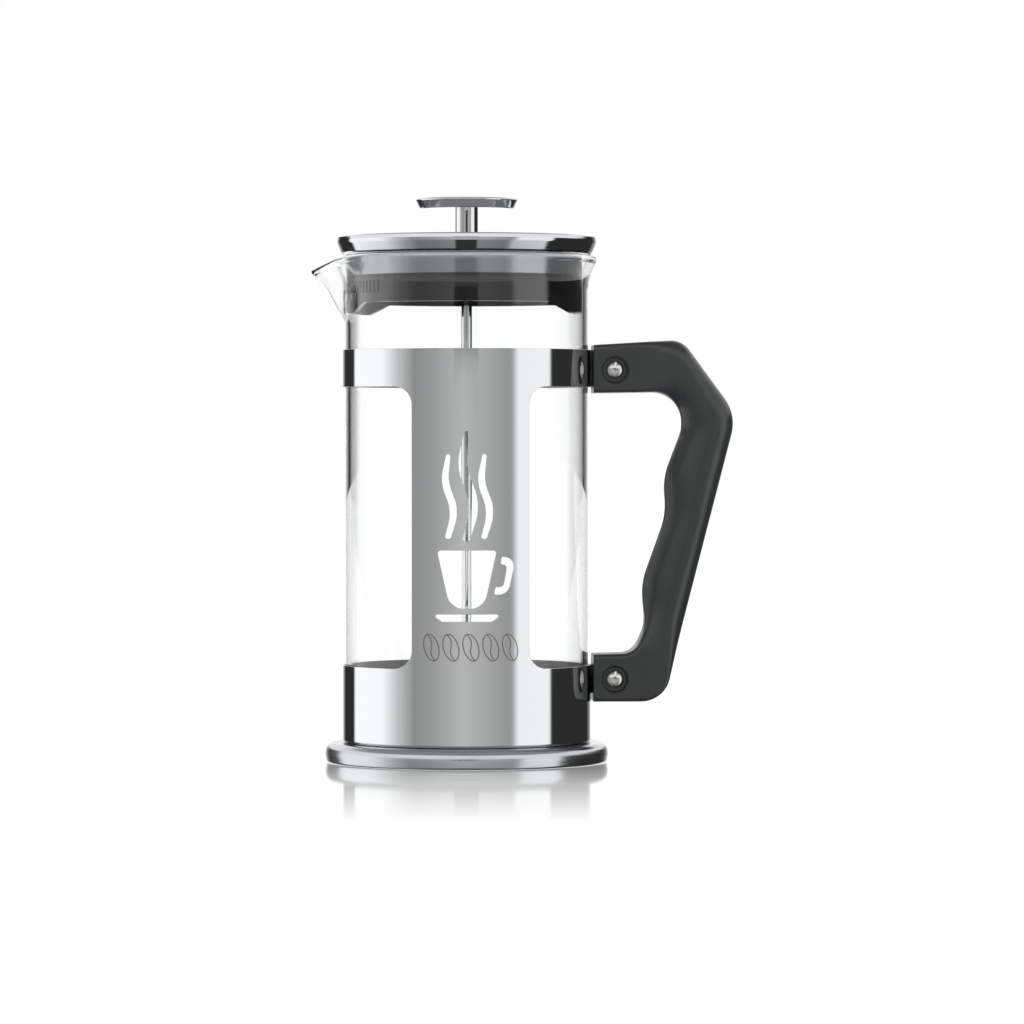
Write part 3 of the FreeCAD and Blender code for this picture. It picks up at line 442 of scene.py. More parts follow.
def moulded_silicone():
    """Pale silicone rubber: milky, matt and slightly see-through."""
    def surface(tree, shader, place):
        set_shader(shader, base_color=linear("D5D6D3"), roughness=0.55, ior=1.41, subsurface_weight=0.3)
        add_grain(tree, shader, place, 0.8, 2.0, 0.15, 0.03)
    return new_material("moulded_silicone_rubber", surface)


# --- the frame ---

# The stencil in the front panel: a cup with steam over it. Corners are (across, up, rounding).
CUP_OUTLINE = [(-13.0, 84.5, 1.2), (-8.0, 62.0, 6.5), (5.0, 62.0, 6.5), (10.0, 84.5, 1.2)]
CUP_EAR_OUTLINE = [
    (17.6, 82.0, 4.0), (14.4, 67.5, 4.2), (9.0, 67.5, 0.6), (9.6, 70.3, 0.6),
    (12.6, 70.3, 1.8), (14.3, 79.2, 1.8), (11.6, 79.2, 0.6), (12.0, 82.0, 0.6),
]
SAUCER_OUTLINE = [(-15.5, 59.8, 1.0), (-11.0, 57.0, 1.3), (8.0, 57.0, 1.3), (12.5, 59.8, 1.0)]
STEAM_OUTLINE = [
    (-1.3, 0.0, 1.1), (1.9, 12.5, 16.0), (-3.2, 25.5, 16.0), (-0.5, 38.0, 0.9),
    (1.3, 38.0, 0.9), (0.2, 25.5, 16.0), (5.3, 12.5, 16.0), (1.3, 0.0, 1.1),
]
STEAM_WISPS = [(-9.0, 89.0, 0.86), (-2.0, 88.0, 1.12), (5.0, 89.0, 0.86)]   # (across, foot, size)


class FRENCHPRESS_PG_sleeve(bpy.types.PropertyGroup):
    """Sizes of the steel sleeve that its box doesn't give."""
    sheet: millimetres("Sheet", "Sheet thickness", 0.8)
    tuck: millimetres("Tuck", "Rounding at the sleeve's foot", 1.4)
    flange: millimetres("Flange", "Inner radius of the turned-in flange", 44.0)
    panel: millimetres("Panel", "Half the width of the front panel", 22.8)
    window_bottom: millimetres("Window bottom", "Height of the opening's lower edge", 38.4)
    window_top: millimetres("Window top", "Height of the opening's upper edge", 147.9)
    window_round: millimetres("Window rounding", "Rounding of the opening's corners", 7.0)
    ear_gap: millimetres("Ear gap", "Half the space between two ears", 1.0)
    ear_bottom: millimetres("Ear bottom", "Lower edge of the lower ears", 27.0)


def cut_windows(sleeve, size, radius):
    """Open the sleeve between its two bands, all but the front panel."""
    outside = radius + OVERCUT
    for side in (-1, 1):
        window = flat_outline("window_tool", [
            (side * size.panel, size.window_bottom, size.window_round),
            (side * outside, size.window_bottom),
            (side * outside, size.window_top),
            (side * size.panel, size.window_top, size.window_round),
        ])
        combine(sleeve, push_out(window, -outside - OVERCUT, 0))
    back_low = (-outside, -1, size.window_bottom)
    combine(sleeve, block("back_tool", back_low, (outside, outside, size.window_top)))


def cut_picture(sleeve, radius):
    """Punch the cup and its steam through the front panel only."""
    outlines = [CUP_OUTLINE, CUP_EAR_OUTLINE, SAUCER_OUTLINE]
    for across, foot, scale in STEAM_WISPS:
        outlines.append([(across + scale * x, foot + scale * z, scale * r) for x, z, r in STEAM_OUTLINE])
    punches = [flat_outline("punch_tool", outline) for outline in outlines]
    combine(sleeve, join([push_out(punch, -radius - OVERCUT, -radius / 2) for punch in punches]))


def add_ears(sleeve, size, radius, top, length):
    """Slit both bands towards the handle and weld on the two pairs of ears, drilled for the screws."""
    ear_round = 1.5
    screw_hole = 2.15
    far_side = size.ear_gap + size.sheet
    for bottom, upper, screw in ((size.ear_bottom, size.window_bottom, "lower_handle_screw"),
                                 (size.window_top, top, "upper_handle_screw")):
        low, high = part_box(screw)
        middle = (low + high) / 2 / MM
        combine(sleeve, block("slit_tool", (radius - OVERCUT, -size.ear_gap, bottom - CLOSE),
                              (radius + OVERCUT, size.ear_gap, upper + CLOSE)))
        for side in (-1, 1):
            ear = push_out(flat_outline("ear_tool", [
                (radius - size.sheet / 2, bottom), (length, bottom, ear_round),
                (length, upper, ear_round), (radius - size.sheet / 2, upper),
            ]), side * size.ear_gap, side * far_side)
            combine(sleeve, ear, "UNION")
        bpy.ops.mesh.primitive_cylinder_add(
            vertices=48, radius=screw_hole * MM, depth=4 * far_side * MM, rotation=(math.pi / 2, 0, 0),
            location=(middle.x * MM, 0, middle.z * MM))
        combine(sleeve, bpy.context.object)


def finish_sheet(piece, radius, sheet):
    """Give a rolled sheet exact round normals, and its inner face and cut edges their own finish."""
    hidden_foot = 12
    mesh = piece.data
    for material in (rolled_mirror_steel(), rolled_inner_steel(), deburred_steel_edge()):
        mesh.materials.append(material)
    normals = []
    for face in mesh.polygons:
        round_face = True
        facing = 0
        for index in face.vertices:
            at = mesh.vertices[index].co / MM
            out = Vector((at.x, at.y, 0)).normalized()
            facing = face.normal.dot(out)
            on_sheet = min(abs(at.xy.length - radius), abs(at.xy.length - radius + sheet)) < CLOSE
            round_face = round_face and on_sheet and abs(facing) > 0.99
        for index in face.vertices:
            at = mesh.vertices[index].co
            out = Vector((at.x, at.y, 0)).normalized()
            normals.append(out * math.copysign(1, facing) if round_face else Vector((0, 0, 0)))
        center = face.center / MM
        if round_face and facing < 0:
            face.material_index = 1
        on_edge = not round_face and radius - sheet - CLOSE < center.xy.length < radius + CLOSE
        if on_edge and center.z > hidden_foot:
            face.material_index = 2
    mesh.normals_split_custom_set(normals)


class FRENCHPRESS_OT_sleeve(bpy.types.Operator):
    """Roll the steel sleeve with its window, stencil and ears"""
    bl_idname = "frenchpress.sleeve"
    bl_label = "Sleeve"

    def execute(self, context):
        size = context.scene.frenchpress_sleeve
        low, high = box_of("frame_shell")
        radius, bottom, top = high.y, low.z, high.z
        sleeve = lathe("steel_sleeve", [
            (size.flange, bottom), (radius, bottom, size.tuck), (radius, top),
            (radius - size.sheet, top), (radius - size.sheet, bottom + size.sheet, 0.5),
            (size.flange, bottom + size.sheet),
        ], steps=360)
        cut_windows(sleeve, size, radius)
        cut_picture(sleeve, radius)
        add_ears(sleeve, size, radius, top, high.x)
        round_edges(sleeve, 0.1, 50, clamp=False)
        smooth(sleeve, 40, weighted=False)
        finish_sheet(sleeve, radius, size.sheet)
        finish_piece(sleeve, None, "frame", "polished_steel", "frame_shell")
        return {"FINISHED"}


class FRENCHPRESS_PG_beans(bpy.types.PropertyGroup):
    """The row of etched coffee beans under the stencil."""
    count: bpy.props.IntProperty(name="Beans", description="How many beans stand in the row", default=5)
    row_width: millimetres("Row width", "From the first bean's middle to the last's", 31.0)
    middle: millimetres("Height", "Height of the row's middle", 47.0)
    bean_width: millimetres("Bean width", "Width of one bean", 6.2)
    bean_height: millimetres("Bean height", "Height of one bean", 11.0)
    line: millimetres("Line", "Width of the etched line", 0.42)
    tilt: degrees("Tilt", "How far each bean leans", 16)


def flat_bean(size):
    """One bean as ribbons in the XZ plane: an oval outline and the curved cleft down its middle."""
    select_none()
    bpy.ops.mesh.primitive_circle_add(vertices=40, radius=0.5 * MM, fill_type="NOTHING",
                                      rotation=(math.pi / 2, 0, 0))
    oval = bpy.context.object
    bpy.ops.object.transform_apply(location=True, rotation=True, scale=True)
    enter_edit(oval)
    bpy.ops.transform.resize(value=(size.bean_width, 1, size.bean_height))
    bpy.ops.mesh.extrude_region_move()
    bpy.ops.transform.resize(value=(1 - 2 * size.line / size.bean_width, 1,
                                    1 - 2 * size.line / size.bean_height))
    leave_edit()
    rows = 16
    bpy.ops.mesh.primitive_grid_add(x_subdivisions=1, y_subdivisions=rows, size=1 * MM)
    cleft = bpy.context.object
    for vertex in cleft.data.vertices:
        share = vertex.co.y / MM
        bow = math.sin(share * FULL_TURN) * size.bean_width * 0.12
        across = math.copysign(size.line / 2, vertex.co.x) + bow
        vertex.co = Vector((across, 0, share * (size.bean_height - 2 * size.line))) * MM
    return join([oval, cleft])


class FRENCHPRESS_OT_beans(bpy.types.Operator):
    """Etch the row of outlined coffee beans into the front panel"""
    bl_idname = "frenchpress.beans"
    bl_label = "Etched beans"

    def execute(self, context):
        size = context.scene.frenchpress_beans
        etch_depth = 0.03
        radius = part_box("frame_shell")[1].y + etch_depth / 2 * MM
        beans = []
        for number in range(size.count):
            bean = flat_bean(size)
            enter_edit(bean)
            bpy.ops.transform.rotate(value=size.tilt, orient_axis="Y", center_override=(0, 0, 0))
            share = number / (size.count - 1) - 0.5
            bpy.ops.transform.translate(value=(share * size.row_width * MM, 0, size.middle * MM))
            leave_edit()
            beans.append(bean)
        row = join(beans)
        row.name = "etched_beans"
        for vertex in row.data.vertices:
            turn = vertex.co.x / radius
            vertex.co = Vector((radius * math.sin(turn), -radius * math.cos(turn), vertex.co.z))
        enter_edit(row)
        turn_outwards()
        leave_edit()
        apply_modifier(row, "SOLIDIFY", thickness=etch_depth * MM, offset=0)
        finish_piece(row, etched_steel(), "frame", "polished_steel")
        return {"FINISHED"}


class FRENCHPRESS_OT_base_ring(bpy.types.Operator):
    """Spin the crowned steel ring that the press stands on"""
    bl_idname = "frenchpress.base_ring"
    bl_label = "Base ring"

    def execute(self, context):
        high = box_of("base_ring")[1]
        widest, top, sheet = high.x, high.z, 1.0
        foot, bore, waist = 51.5, 42.0, top * 0.55
        heel, shoulder, crown = widest - 0.5, widest - 1.2, widest + 0.2
        ring = lathe("crowned_base_ring", [
            (foot, 0), (heel, 0, 1.1), (crown, waist, 5.5), (shoulder, top, 3.6), (bore, top),
            (bore, top - sheet), (shoulder - sheet, top - sheet, 2.0), (crown - sheet, waist, 3.5),
            (heel - sheet, sheet, 0.4), (foot, sheet),
        ], steps=320)
        smooth(ring)
        finish_piece(ring, buffed_ring_steel(), "frame", "polished_steel", "base_ring")
        return {"FINISHED"}


# --- the handle ---

# The handle's two side lines from its upper to its lower end, as (distance from the axis, height,
# rounding). The back runs over the shoulder and the heel, the grip over three finger grooves.
HANDLE_BACK = [(49.7, 164.6), (85.1, 166.7, 8.7), (106.9, 137.1, 16.7), (77.7, 23.8, 11.8), (49.7, 23.8)]
HANDLE_GRIP = [
    (49.7, 145.5), (84.9, 146.0, 11.5), (84.9, 131.0, 12.0), (77.6, 112.0, 28.0), (78.9, 98.0, 28.0),
    (68.9, 70.0, 28.0), (70.5, 54.0, 16.0), (66.0, 43.0, 7.5), (49.7, 42.6),
]
# Ribs between one pair of matched corners and the next: the leg, the slope, the grip, the lower leg.
HANDLE_RIBS = (26, 18, 84, 26)


class FRENCHPRESS_PG_handle(bpy.types.PropertyGroup):
    """Shape of the moulded handle across its length."""
    crown: bpy.props.FloatProperty(
        name="Crown", description="Power of the grip's section: 1 is an ellipse, 0 a box", default=0.95)
    leg_crown: bpy.props.FloatProperty(
        name="Leg crown", description="The same power on the flat legs", default=0.16)
    thinning: bpy.props.FloatProperty(
        name="Thinning", description="How much thinner the grip is at the fingers", default=0.42)
    leg_length: millimetres("Leg length", "Length of the flat legs", 17.0)
    blend_length: millimetres("Blend length", "How far a leg takes to turn into the grip", 26.0)


def rounded_line(corners):
    """Points along a line with its corners rounded by arcs, and the number of each arc's middle point."""
    points = [Vector(corners[0][:2])]
    middles = []
    for before, corner, after in zip(corners, corners[1:], corners[2:]):
        place = Vector(corner[:2])
        to_before = (Vector(before[:2]) - place).normalized()
        to_after = (Vector(after[:2]) - place).normalized()
        inside = to_before.angle(to_after)
        center = place + (to_before + to_after).normalized() * (corner[2] / math.sin(inside / 2))
        start = place + to_before * (corner[2] / math.tan(inside / 2)) - center
        end = place + to_after * (corner[2] / math.tan(inside / 2)) - center
        facets = 2 * max(2, round(math.degrees(math.pi - inside) / ARC_STEP))
        middles.append(len(points) + facets // 2)
        points.extend(center + start.slerp(end, step / facets) * corner[2] for step in range(facets + 1))
    points.append(Vector(corners[-1][:2]))
    return points, middles


def spaced_points(corners, matched):
    """Points along a rounded line, evenly spaced between the corners that match the other side's."""
    points, middles = rounded_line(corners)
    stops = [0] + [middles[number - 1] for number in matched] + [len(points) - 1]
    lengths = [0.0]
    for first, second in zip(points, points[1:]):
        lengths.append(lengths[-1] + (second - first).length)
    spaced = []
    for first, last, count in zip(stops, stops[1:], HANDLE_RIBS):
        for step in range(count + (last == len(points) - 1)):
            reach = lengths[first] + (lengths[last] - lengths[first]) * step / count
            after = next(index for index in range(1, len(points)) if lengths[index] >= reach - 1e-9)
            share = (reach - lengths[after - 1]) / (lengths[after] - lengths[after - 1])
            spaced.append((points[after - 1].lerp(points[after], share), reach))
    total = lengths[-1]
    return [(place, min(reach, total - reach)) for place, reach in spaced]


def smoothstep(value):
    """0 below 0, 1 above 1 and an even curve between."""
    value = min(1.0, max(0.0, value))
    return value * value * (3 - 2 * value)


def signed_power(value, power):
    """A power that keeps its sign; a rounding error counts as nothing."""
    if abs(value) < 1e-9:
        return 0.0
    return math.copysign(abs(value) ** power, value)


def loft_handle(size, half_width, around=56):
    """A grid wrapped round the ribs between the handle's back and its grip."""
    back = spaced_points(HANDLE_BACK, (1, 2, 3))
    grip = spaced_points(HANDLE_GRIP, (1, 2, 7))
    select_none()
    bpy.ops.mesh.primitive_grid_add(x_subdivisions=len(back) - 1, y_subdivisions=around, size=1)
    piece = bpy.context.object
    for vertex in piece.data.vertices:
        rib = round((vertex.co.x + 0.5) * (len(back) - 1))
        angle = (vertex.co.y + 0.5) * FULL_TURN
        outer, (inner, reach) = back[rib][0], grip[rib]
        blend = smoothstep((reach - size.leg_length) / size.blend_length)
        power = size.leg_crown + (size.crown - size.leg_crown) * blend
        across = 0.5 + 0.5 * signed_power(math.cos(angle), power)
        thin = 1 - size.thinning * blend * (1 - across) ** 1.5
        depth = half_width * thin * signed_power(math.sin(angle), power)
        place = inner.lerp(outer, across)
        vertex.co = Vector((place.x, depth, place.y)) * MM
    enter_edit(piece)
    bpy.ops.mesh.remove_doubles(threshold=CLOSE / 20 * MM)
    bpy.ops.mesh.select_all(action="SELECT")
    bpy.ops.mesh.fill_holes(sides=0)
    turn_outwards()
    leave_edit()
    return piece


class FRENCHPRESS_OT_handle(bpy.types.Operator):
    """Mould the grooved handle with its ear slots and screw recesses"""
    bl_idname = "frenchpress.handle"
    bl_label = "Handle"

    def execute(self, context):
        size = context.scene.frenchpress_handle
        sleeve = context.scene.frenchpress_sleeve
        head_height = context.scene.frenchpress_fasteners.head_height
        half_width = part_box("handle")[1].y / MM
        ear_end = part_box("frame_shell")[1].x / MM
        band_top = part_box("frame_shell")[1].z / MM
        handle = loft_handle(size, half_width)
        handle.name = "grooved_handle"
        play = 0.15
        slot_half = sleeve.ear_gap + sleeve.sheet + play
        slot_start, slot_end = 45, ear_end + 0.5
        barrel_hole, recess, recess_mouth, recess_rim = 3.15, 4.9, 6.2, 0.9
        past_surface, tool_top = 0.57, 8
        screws = []
        for bottom, top, level in ((sleeve.ear_bottom, sleeve.window_bottom, "lower"),
                                   (sleeve.window_top, band_top, "upper")):
            combine(handle, block("slot_tool", (slot_start, -slot_half, bottom - play),
                                  (slot_end, slot_half, top + play)))
            low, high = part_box(f"{level}_handle_screw")
            screws.append(((low + high) / 2, low.y / MM + head_height))
        for middle, head_floor in screws:
            bpy.ops.mesh.primitive_cylinder_add(
                vertices=48, radius=barrel_hole * MM, depth=3 * half_width * MM,
                rotation=(math.pi / 2, 0, 0), location=(middle.x, 0, middle.z))
            combine(handle, context.object)
        # The recess opens out in a cone that runs past the handle's side, so no edge ends in it.
        for middle, head_floor in screws:
            depth = half_width + head_floor
            for side in (-1, 1):
                tool = lathe("recess_tool", [
                    (0, 0), (recess, 0, 0.5), (recess, depth - recess_rim),
                    (recess_mouth, depth + past_surface), (recess_mouth, tool_top), (0, tool_top),
                ], steps=60)
                turn = Matrix.Rotation(-side * math.pi / 2, 4, "X")
                shift = Matrix.Translation((middle.x, side * -head_floor * MM, middle.z))
                tool.data.transform(shift @ turn)
                combine(handle, tool)
        enter_edit(handle)
        bpy.ops.mesh.select_all(action="SELECT")
        bpy.ops.mesh.dissolve_degenerate(threshold=0.002 * MM)
        leave_edit()
        round_edges(handle, 0.45, 60, segments=3)
        smooth(handle, 45, weighted=False)
        finish_piece(handle, moulded_nylon(), "frame", "black_plastic", "handle")
        return {"FINISHED"}


class FRENCHPRESS_PG_fasteners(bpy.types.PropertyGroup):
    """The slotted screws and sleeve nuts that hold the handle."""
    head_height: millimetres("Head height", "Height of the domed head", 1.9)
    dome: millimetres("Dome", "How far the head swells", 1.2)
    slot_width: millimetres("Slot width", "Width of the slot", 0.9)
    slot_depth: millimetres("Slot depth", "Depth of the slot", 1.0)
    slot_tilt: degrees("Slot tilt", "How far the slots lean from upright", 7)


def slotted_fastener(name, size, radius, shank, length):
    """A domed slotted head on a plain shank, its head's underside at height 0 and its slot on top."""
    edge = size.head_height - size.dome
    piece = lathe(name, [
        (0, -length), (shank - 0.3, -length), (shank, -length + 0.3), (shank, 0), (radius, 0, 0.2),
        (radius, edge, 0.25), (radius * 0.6, size.head_height - 0.15, 3.4), (0, size.head_height),
    ], steps=72)
    half_slot, slot_end = size.slot_width / 2, radius + OVERCUT
    combine(piece, block("slot_tool", (-half_slot, -slot_end, size.head_height - size.slot_depth),
                         (half_slot, slot_end, size.head_height + OVERCUT)))
    round_edges(piece, 0.1, 50)
    smooth(piece, 40, weighted=False)
    return piece


class FRENCHPRESS_OT_fasteners(bpy.types.Operator):
    """Make one slotted screw and one sleeve nut, and fit a copy of each at both ends of the handle"""
    bl_idname = "frenchpress.fasteners"
    bl_label = "Screws and sleeve nuts"

    def execute(self, context):
        size = context.scene.frenchpress_fasteners
        for kind, side, shank in (("screw", -1, 2.0), ("nut", 1, 3.0)):
            low, high = box_of(f"lower_handle_{kind}")
            radius = (high.z - low.z) / 2
            length = high.y - low.y - size.head_height
            model = slotted_fastener(f"slotted_{kind}", size, radius, shank, length)
            tilt = Matrix.Rotation(size.slot_tilt, 4, "Y") @ Matrix.Rotation(-side * math.pi / 2, 4, "X")
            for level in ("lower", "upper"):
                low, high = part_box(f"{level}_handle_{kind}")
                head = (low.y + size.head_height * MM) if side < 0 else (high.y - size.head_height * MM)
                place = Matrix.Translation(((low.x + high.x) / 2, head, (low.z + high.z) / 2))
                copy = model.copy()
                copy.data = model.data.copy()
                copy.name = f"{level}_slotted_{kind}"
                context.collection.objects.link(copy)
                copy.data.transform(place @ tilt)
                finish_piece(copy, nickel_plate(), "frame", "plated_steel", f"{level}_handle_{kind}")
            bpy.data.objects.remove(model)
        return {"FINISHED"}


# --- the beaker ---

class FRENCHPRESS_PG_beaker(bpy.types.PropertyGroup):
    """Sizes of the glass beaker that its box doesn't give."""
    wall: millimetres("Wall", "Thickness of the wall", 2.0)
    floor: millimetres("Floor", "Thickness of the floor", 3.0)
    radius: millimetres("Radius", "Outer radius of the body", 48.0)
    bead: millimetres("Bead", "Thickness of the beaded rim", 2.4)
    flare_drop: millimetres("Flare", "How far under the rim it starts to open", 10.1)
    spout_foot: millimetres("Spout foot", "Height where the spout starts", 171.5)
    spout_droop: millimetres("Spout droop", "How far the lip lies under the rim", 5.7)
    spout_width: degrees("Spout width", "Half width of the lip, seen from the axis", 13.5)
    spout_neck: degrees("Spout neck", "Half width at the spout's foot", 7.5)


def draw_spout(piece, size, rim, pull):
    """Pull the rim out into a pouring lip that narrows downwards and droops at its tip."""
    span = rim - size.spout_foot
    for vertex in piece.data.vertices:
        at = vertex.co / MM
        rise = (at.z - size.spout_foot) / span
        if rise <= 0:
            continue
        turn = math.atan2(at.y, -at.x)
        width = size.spout_neck + (size.spout_width - size.spout_neck) * smoothstep(rise)
        share = math.exp(-(turn / width) ** 2)
        swell = rise * smoothstep(rise / 0.3) + 0.1 * rise * math.sin(math.pi * rise)
        reach = at.xy.length + pull * swell * share
        out = at.xy.normalized()
        droop = size.spout_droop * rise ** 2 * share
        vertex.co = Vector((out.x * reach, out.y * reach, at.z - droop)) * MM


class FRENCHPRESS_OT_beaker(bpy.types.Operator):
    """Blow the glass beaker and draw out its spout"""
    bl_idname = "frenchpress.beaker"
    bl_label = "Beaker"

    def execute(self, context):
        size = context.scene.frenchpress_beaker
        low, high = box_of("glass_beaker")
        bottom, rim, widest = low.z, high.z, high.x
        inside = size.radius - size.wall
        flare = rim - size.flare_drop
        bead_foot = rim - size.bead
        beaker = lathe("spouted_beaker", [
            (0, bottom), (size.radius, bottom, 8.0), (size.radius, flare, 12.0),
            (widest, bead_foot, 1.4), (widest, rim, 1.15), (widest - size.bead, rim, 1.15),
            (widest - size.bead, bead_foot + 0.2, 1.2), (inside, flare + 1, 12.0),
            (inside, bottom + size.floor, 6.0), (0, bottom + size.floor),
        ], steps=360, levels=[size.spout_foot - 3 + 1.6 * step for step in range(13)])
        draw_spout(beaker, size, rim, -low.x - widest)
        smooth(beaker, 60, weighted=False)
        finish_piece(beaker, borosilicate_glass(), "carafe", "glass", "glass_beaker")
        return {"FINISHED"}


# --- the lid and the knob ---

class FRENCHPRESS_OT_lid(bpy.types.Operator):
    """Spin the lid's dish with its swelling side and rolled rim"""
    bl_idname = "frenchpress.lid"
    bl_label = "Lid"

    def execute(self, context):
        low, high = box_of("lid_cover")
        widest, bottom, top, sheet, bore = high.x, low.z, high.z, 0.7, 4.05
        lid = lathe("spun_lid_dish", [
            (bore, bottom), (widest - 1.9, bottom, 1.9), (widest + 0.1, top - 2.4, 3.0),
            (widest - 0.3, top, 0.6), (widest - 1.9, top, 0.6), (widest - 3.3, bottom + sheet, 1.6),
            (bore, bottom + sheet),
        ], steps=320)
        smooth(lid)
        finish_piece(lid, spun_mirror_steel(), "lid", "polished_steel", "lid_cover")
        return {"FINISHED"}


class FRENCHPRESS_OT_knob(bpy.types.Operator):
    """Spin the knob, an upturned saucer with a dished top"""
    bl_idname = "frenchpress.knob"
    bl_label = "Knob"

    def execute(self, context):
        low, high = box_of("knob")
        collar = 0.6
        widest, bottom, top, bore = high.x, low.z - collar, high.z, 2.15
        knob = lathe("saucer_knob", [
            (bore, bottom), (widest - 1.6, bottom, 0.8), (widest + 0.1, top - 0.5, 0.7),
            (widest - 0.4, top, 0.35), (widest - 1.4, top, 0.5), (widest - 3.0, top - 1.0, 1.4),
            (0, top - 1.0), (0, top - 1.9), (bore, top - 1.9),
        ], steps=256)
        smooth(knob)
        finish_piece(knob, spun_mirror_steel(), "plunger", "polished_steel", "knob")
        return {"FINISHED"}


# --- the filter ---

class FRENCHPRESS_PG_filter(bpy.types.PropertyGroup):
    """The coil spring round the filter's edge."""
    turns: bpy.props.IntProperty(name="Turns", description="Turns of the spring's coil", default=220)
    wire: millimetres("Wire", "Diameter of the wire", 0.6)


class FRENCHPRESS_OT_spring(bpy.types.Operator):
    """Wind the coil spring that wipes the glass"""
    bl_idname = "frenchpress.spring"
    bl_label = "Edge spring"

    def execute(self, context):
        size = context.scene.frenchpress_filter
        low, high = box_of("edge_spring")
        coil = (high.z - low.z - size.wire) / 2
        ring = high.x - coil - size.wire / 2
        middle = (low.z + high.z) / 2
        per_turn = 6
        count = size.turns * per_turn
        select_none()
        bpy.ops.curve.primitive_nurbs_path_add()
        spring = context.object
        spring.name = "wound_edge_spring"
        spline = spring.data.splines[0]
        spline.points.add(count - len(spline.points))
        for index, point in enumerate(spline.points):
            around = FULL_TURN * index / count
            twist = FULL_TURN * index / per_turn
            reach = ring + coil * math.cos(twist)
            point.co = (reach * math.cos(around) * MM, reach * math.sin(around) * MM,
                        (middle + coil * math.sin(twist)) * MM, 1)
        spline.use_cyclic_u = True
        spline.use_endpoint_u = False
        spline.order_u = 3
        spline.resolution_u = 2
        spring.data.bevel_depth = size.wire / 2 * MM
        spring.data.bevel_resolution = 1
        bpy.ops.object.convert(target="MESH")
        spring = context.object
        bpy.ops.object.transform_apply(location=True, rotation=True, scale=True)
        bpy.ops.object.shade_smooth()
        finish_piece(spring, spring_wire(), "plunger", "spring_steel", "edge_spring")
        return {"FINISHED"}


# --- the studio ---

class FRENCHPRESS_PG_studio(bpy.types.PropertyGroup):
    """Where the camera stands and how the room is lit."""
    camera_distance: metres("Camera distance", "From the press's axis to the lens", 1.99)
    camera_height: metres("Camera height", "Height of the lens over the table", 0.130)
    camera_turn: degrees("Camera turn", "How far the camera stands round towards the spout", -2.4)
    aim_across: metres("Aim across", "How far right of the axis the camera looks", 0.0179)
    aim_height: metres("Aim height", "Height that the camera looks at", 0.0986)
    lens: bpy.props.FloatProperty(
        name="Lens", description="Focal length in millimetres on a 36 mm sensor", default=177.0)
    table_radius: metres("Table radius", "Radius of the round table top", 6.0)


# How bright the room is at each turn from the camera, in degrees towards the handle, where white
# paper is 1: bright panels, black flags beside them and a grey wall behind the camera.
ROOM_STRIPES = [
    (-180, 1.14), (-171, 1.14), (-162, 0.45), (-153, 0.03), (-129, 0.03), (-125, 1.20), (-84, 1.18),
    (-66, 0.66), (-49, 0.33), (-30, 0.40), (-3, 0.58), (20, 0.47), (40, 0.37), (43.5, 0.45), (49, 1.05),
    (82.5, 1.10), (86, 0.03), (117, 0.03), (150, 0.03), (158, 0.25), (165, 0.55), (171, 1.14), (180, 1.14),
]
BRIGHTEST = 1.25
# The camera and its stand, which show as a dark patch: half its turn, and the heights of its two parts.
LENS_HALF_TURN = 10.5
LENS_HEIGHTS = (1.15, 9)
STAND_HEIGHTS = (-54, -31)


def band(tree, value, low, high, soft):
    """1 between two values, fading to 0 over a soft width outside them."""
    rising = node(tree, "ShaderNodeMapRange", {
        "Value": value, "From Min": low - soft, "From Max": low}, interpolation_type="SMOOTHSTEP")
    falling = node(tree, "ShaderNodeMapRange", {
        "Value": value, "From Min": high, "From Max": high + soft, "To Min": 1.0, "To Max": 0.0},
        interpolation_type="SMOOTHSTEP")
    return node(tree, "ShaderNodeMath", {
        0: rising.outputs["Result"], 1: falling.outputs["Result"]}, operation="MULTIPLY").outputs[0]


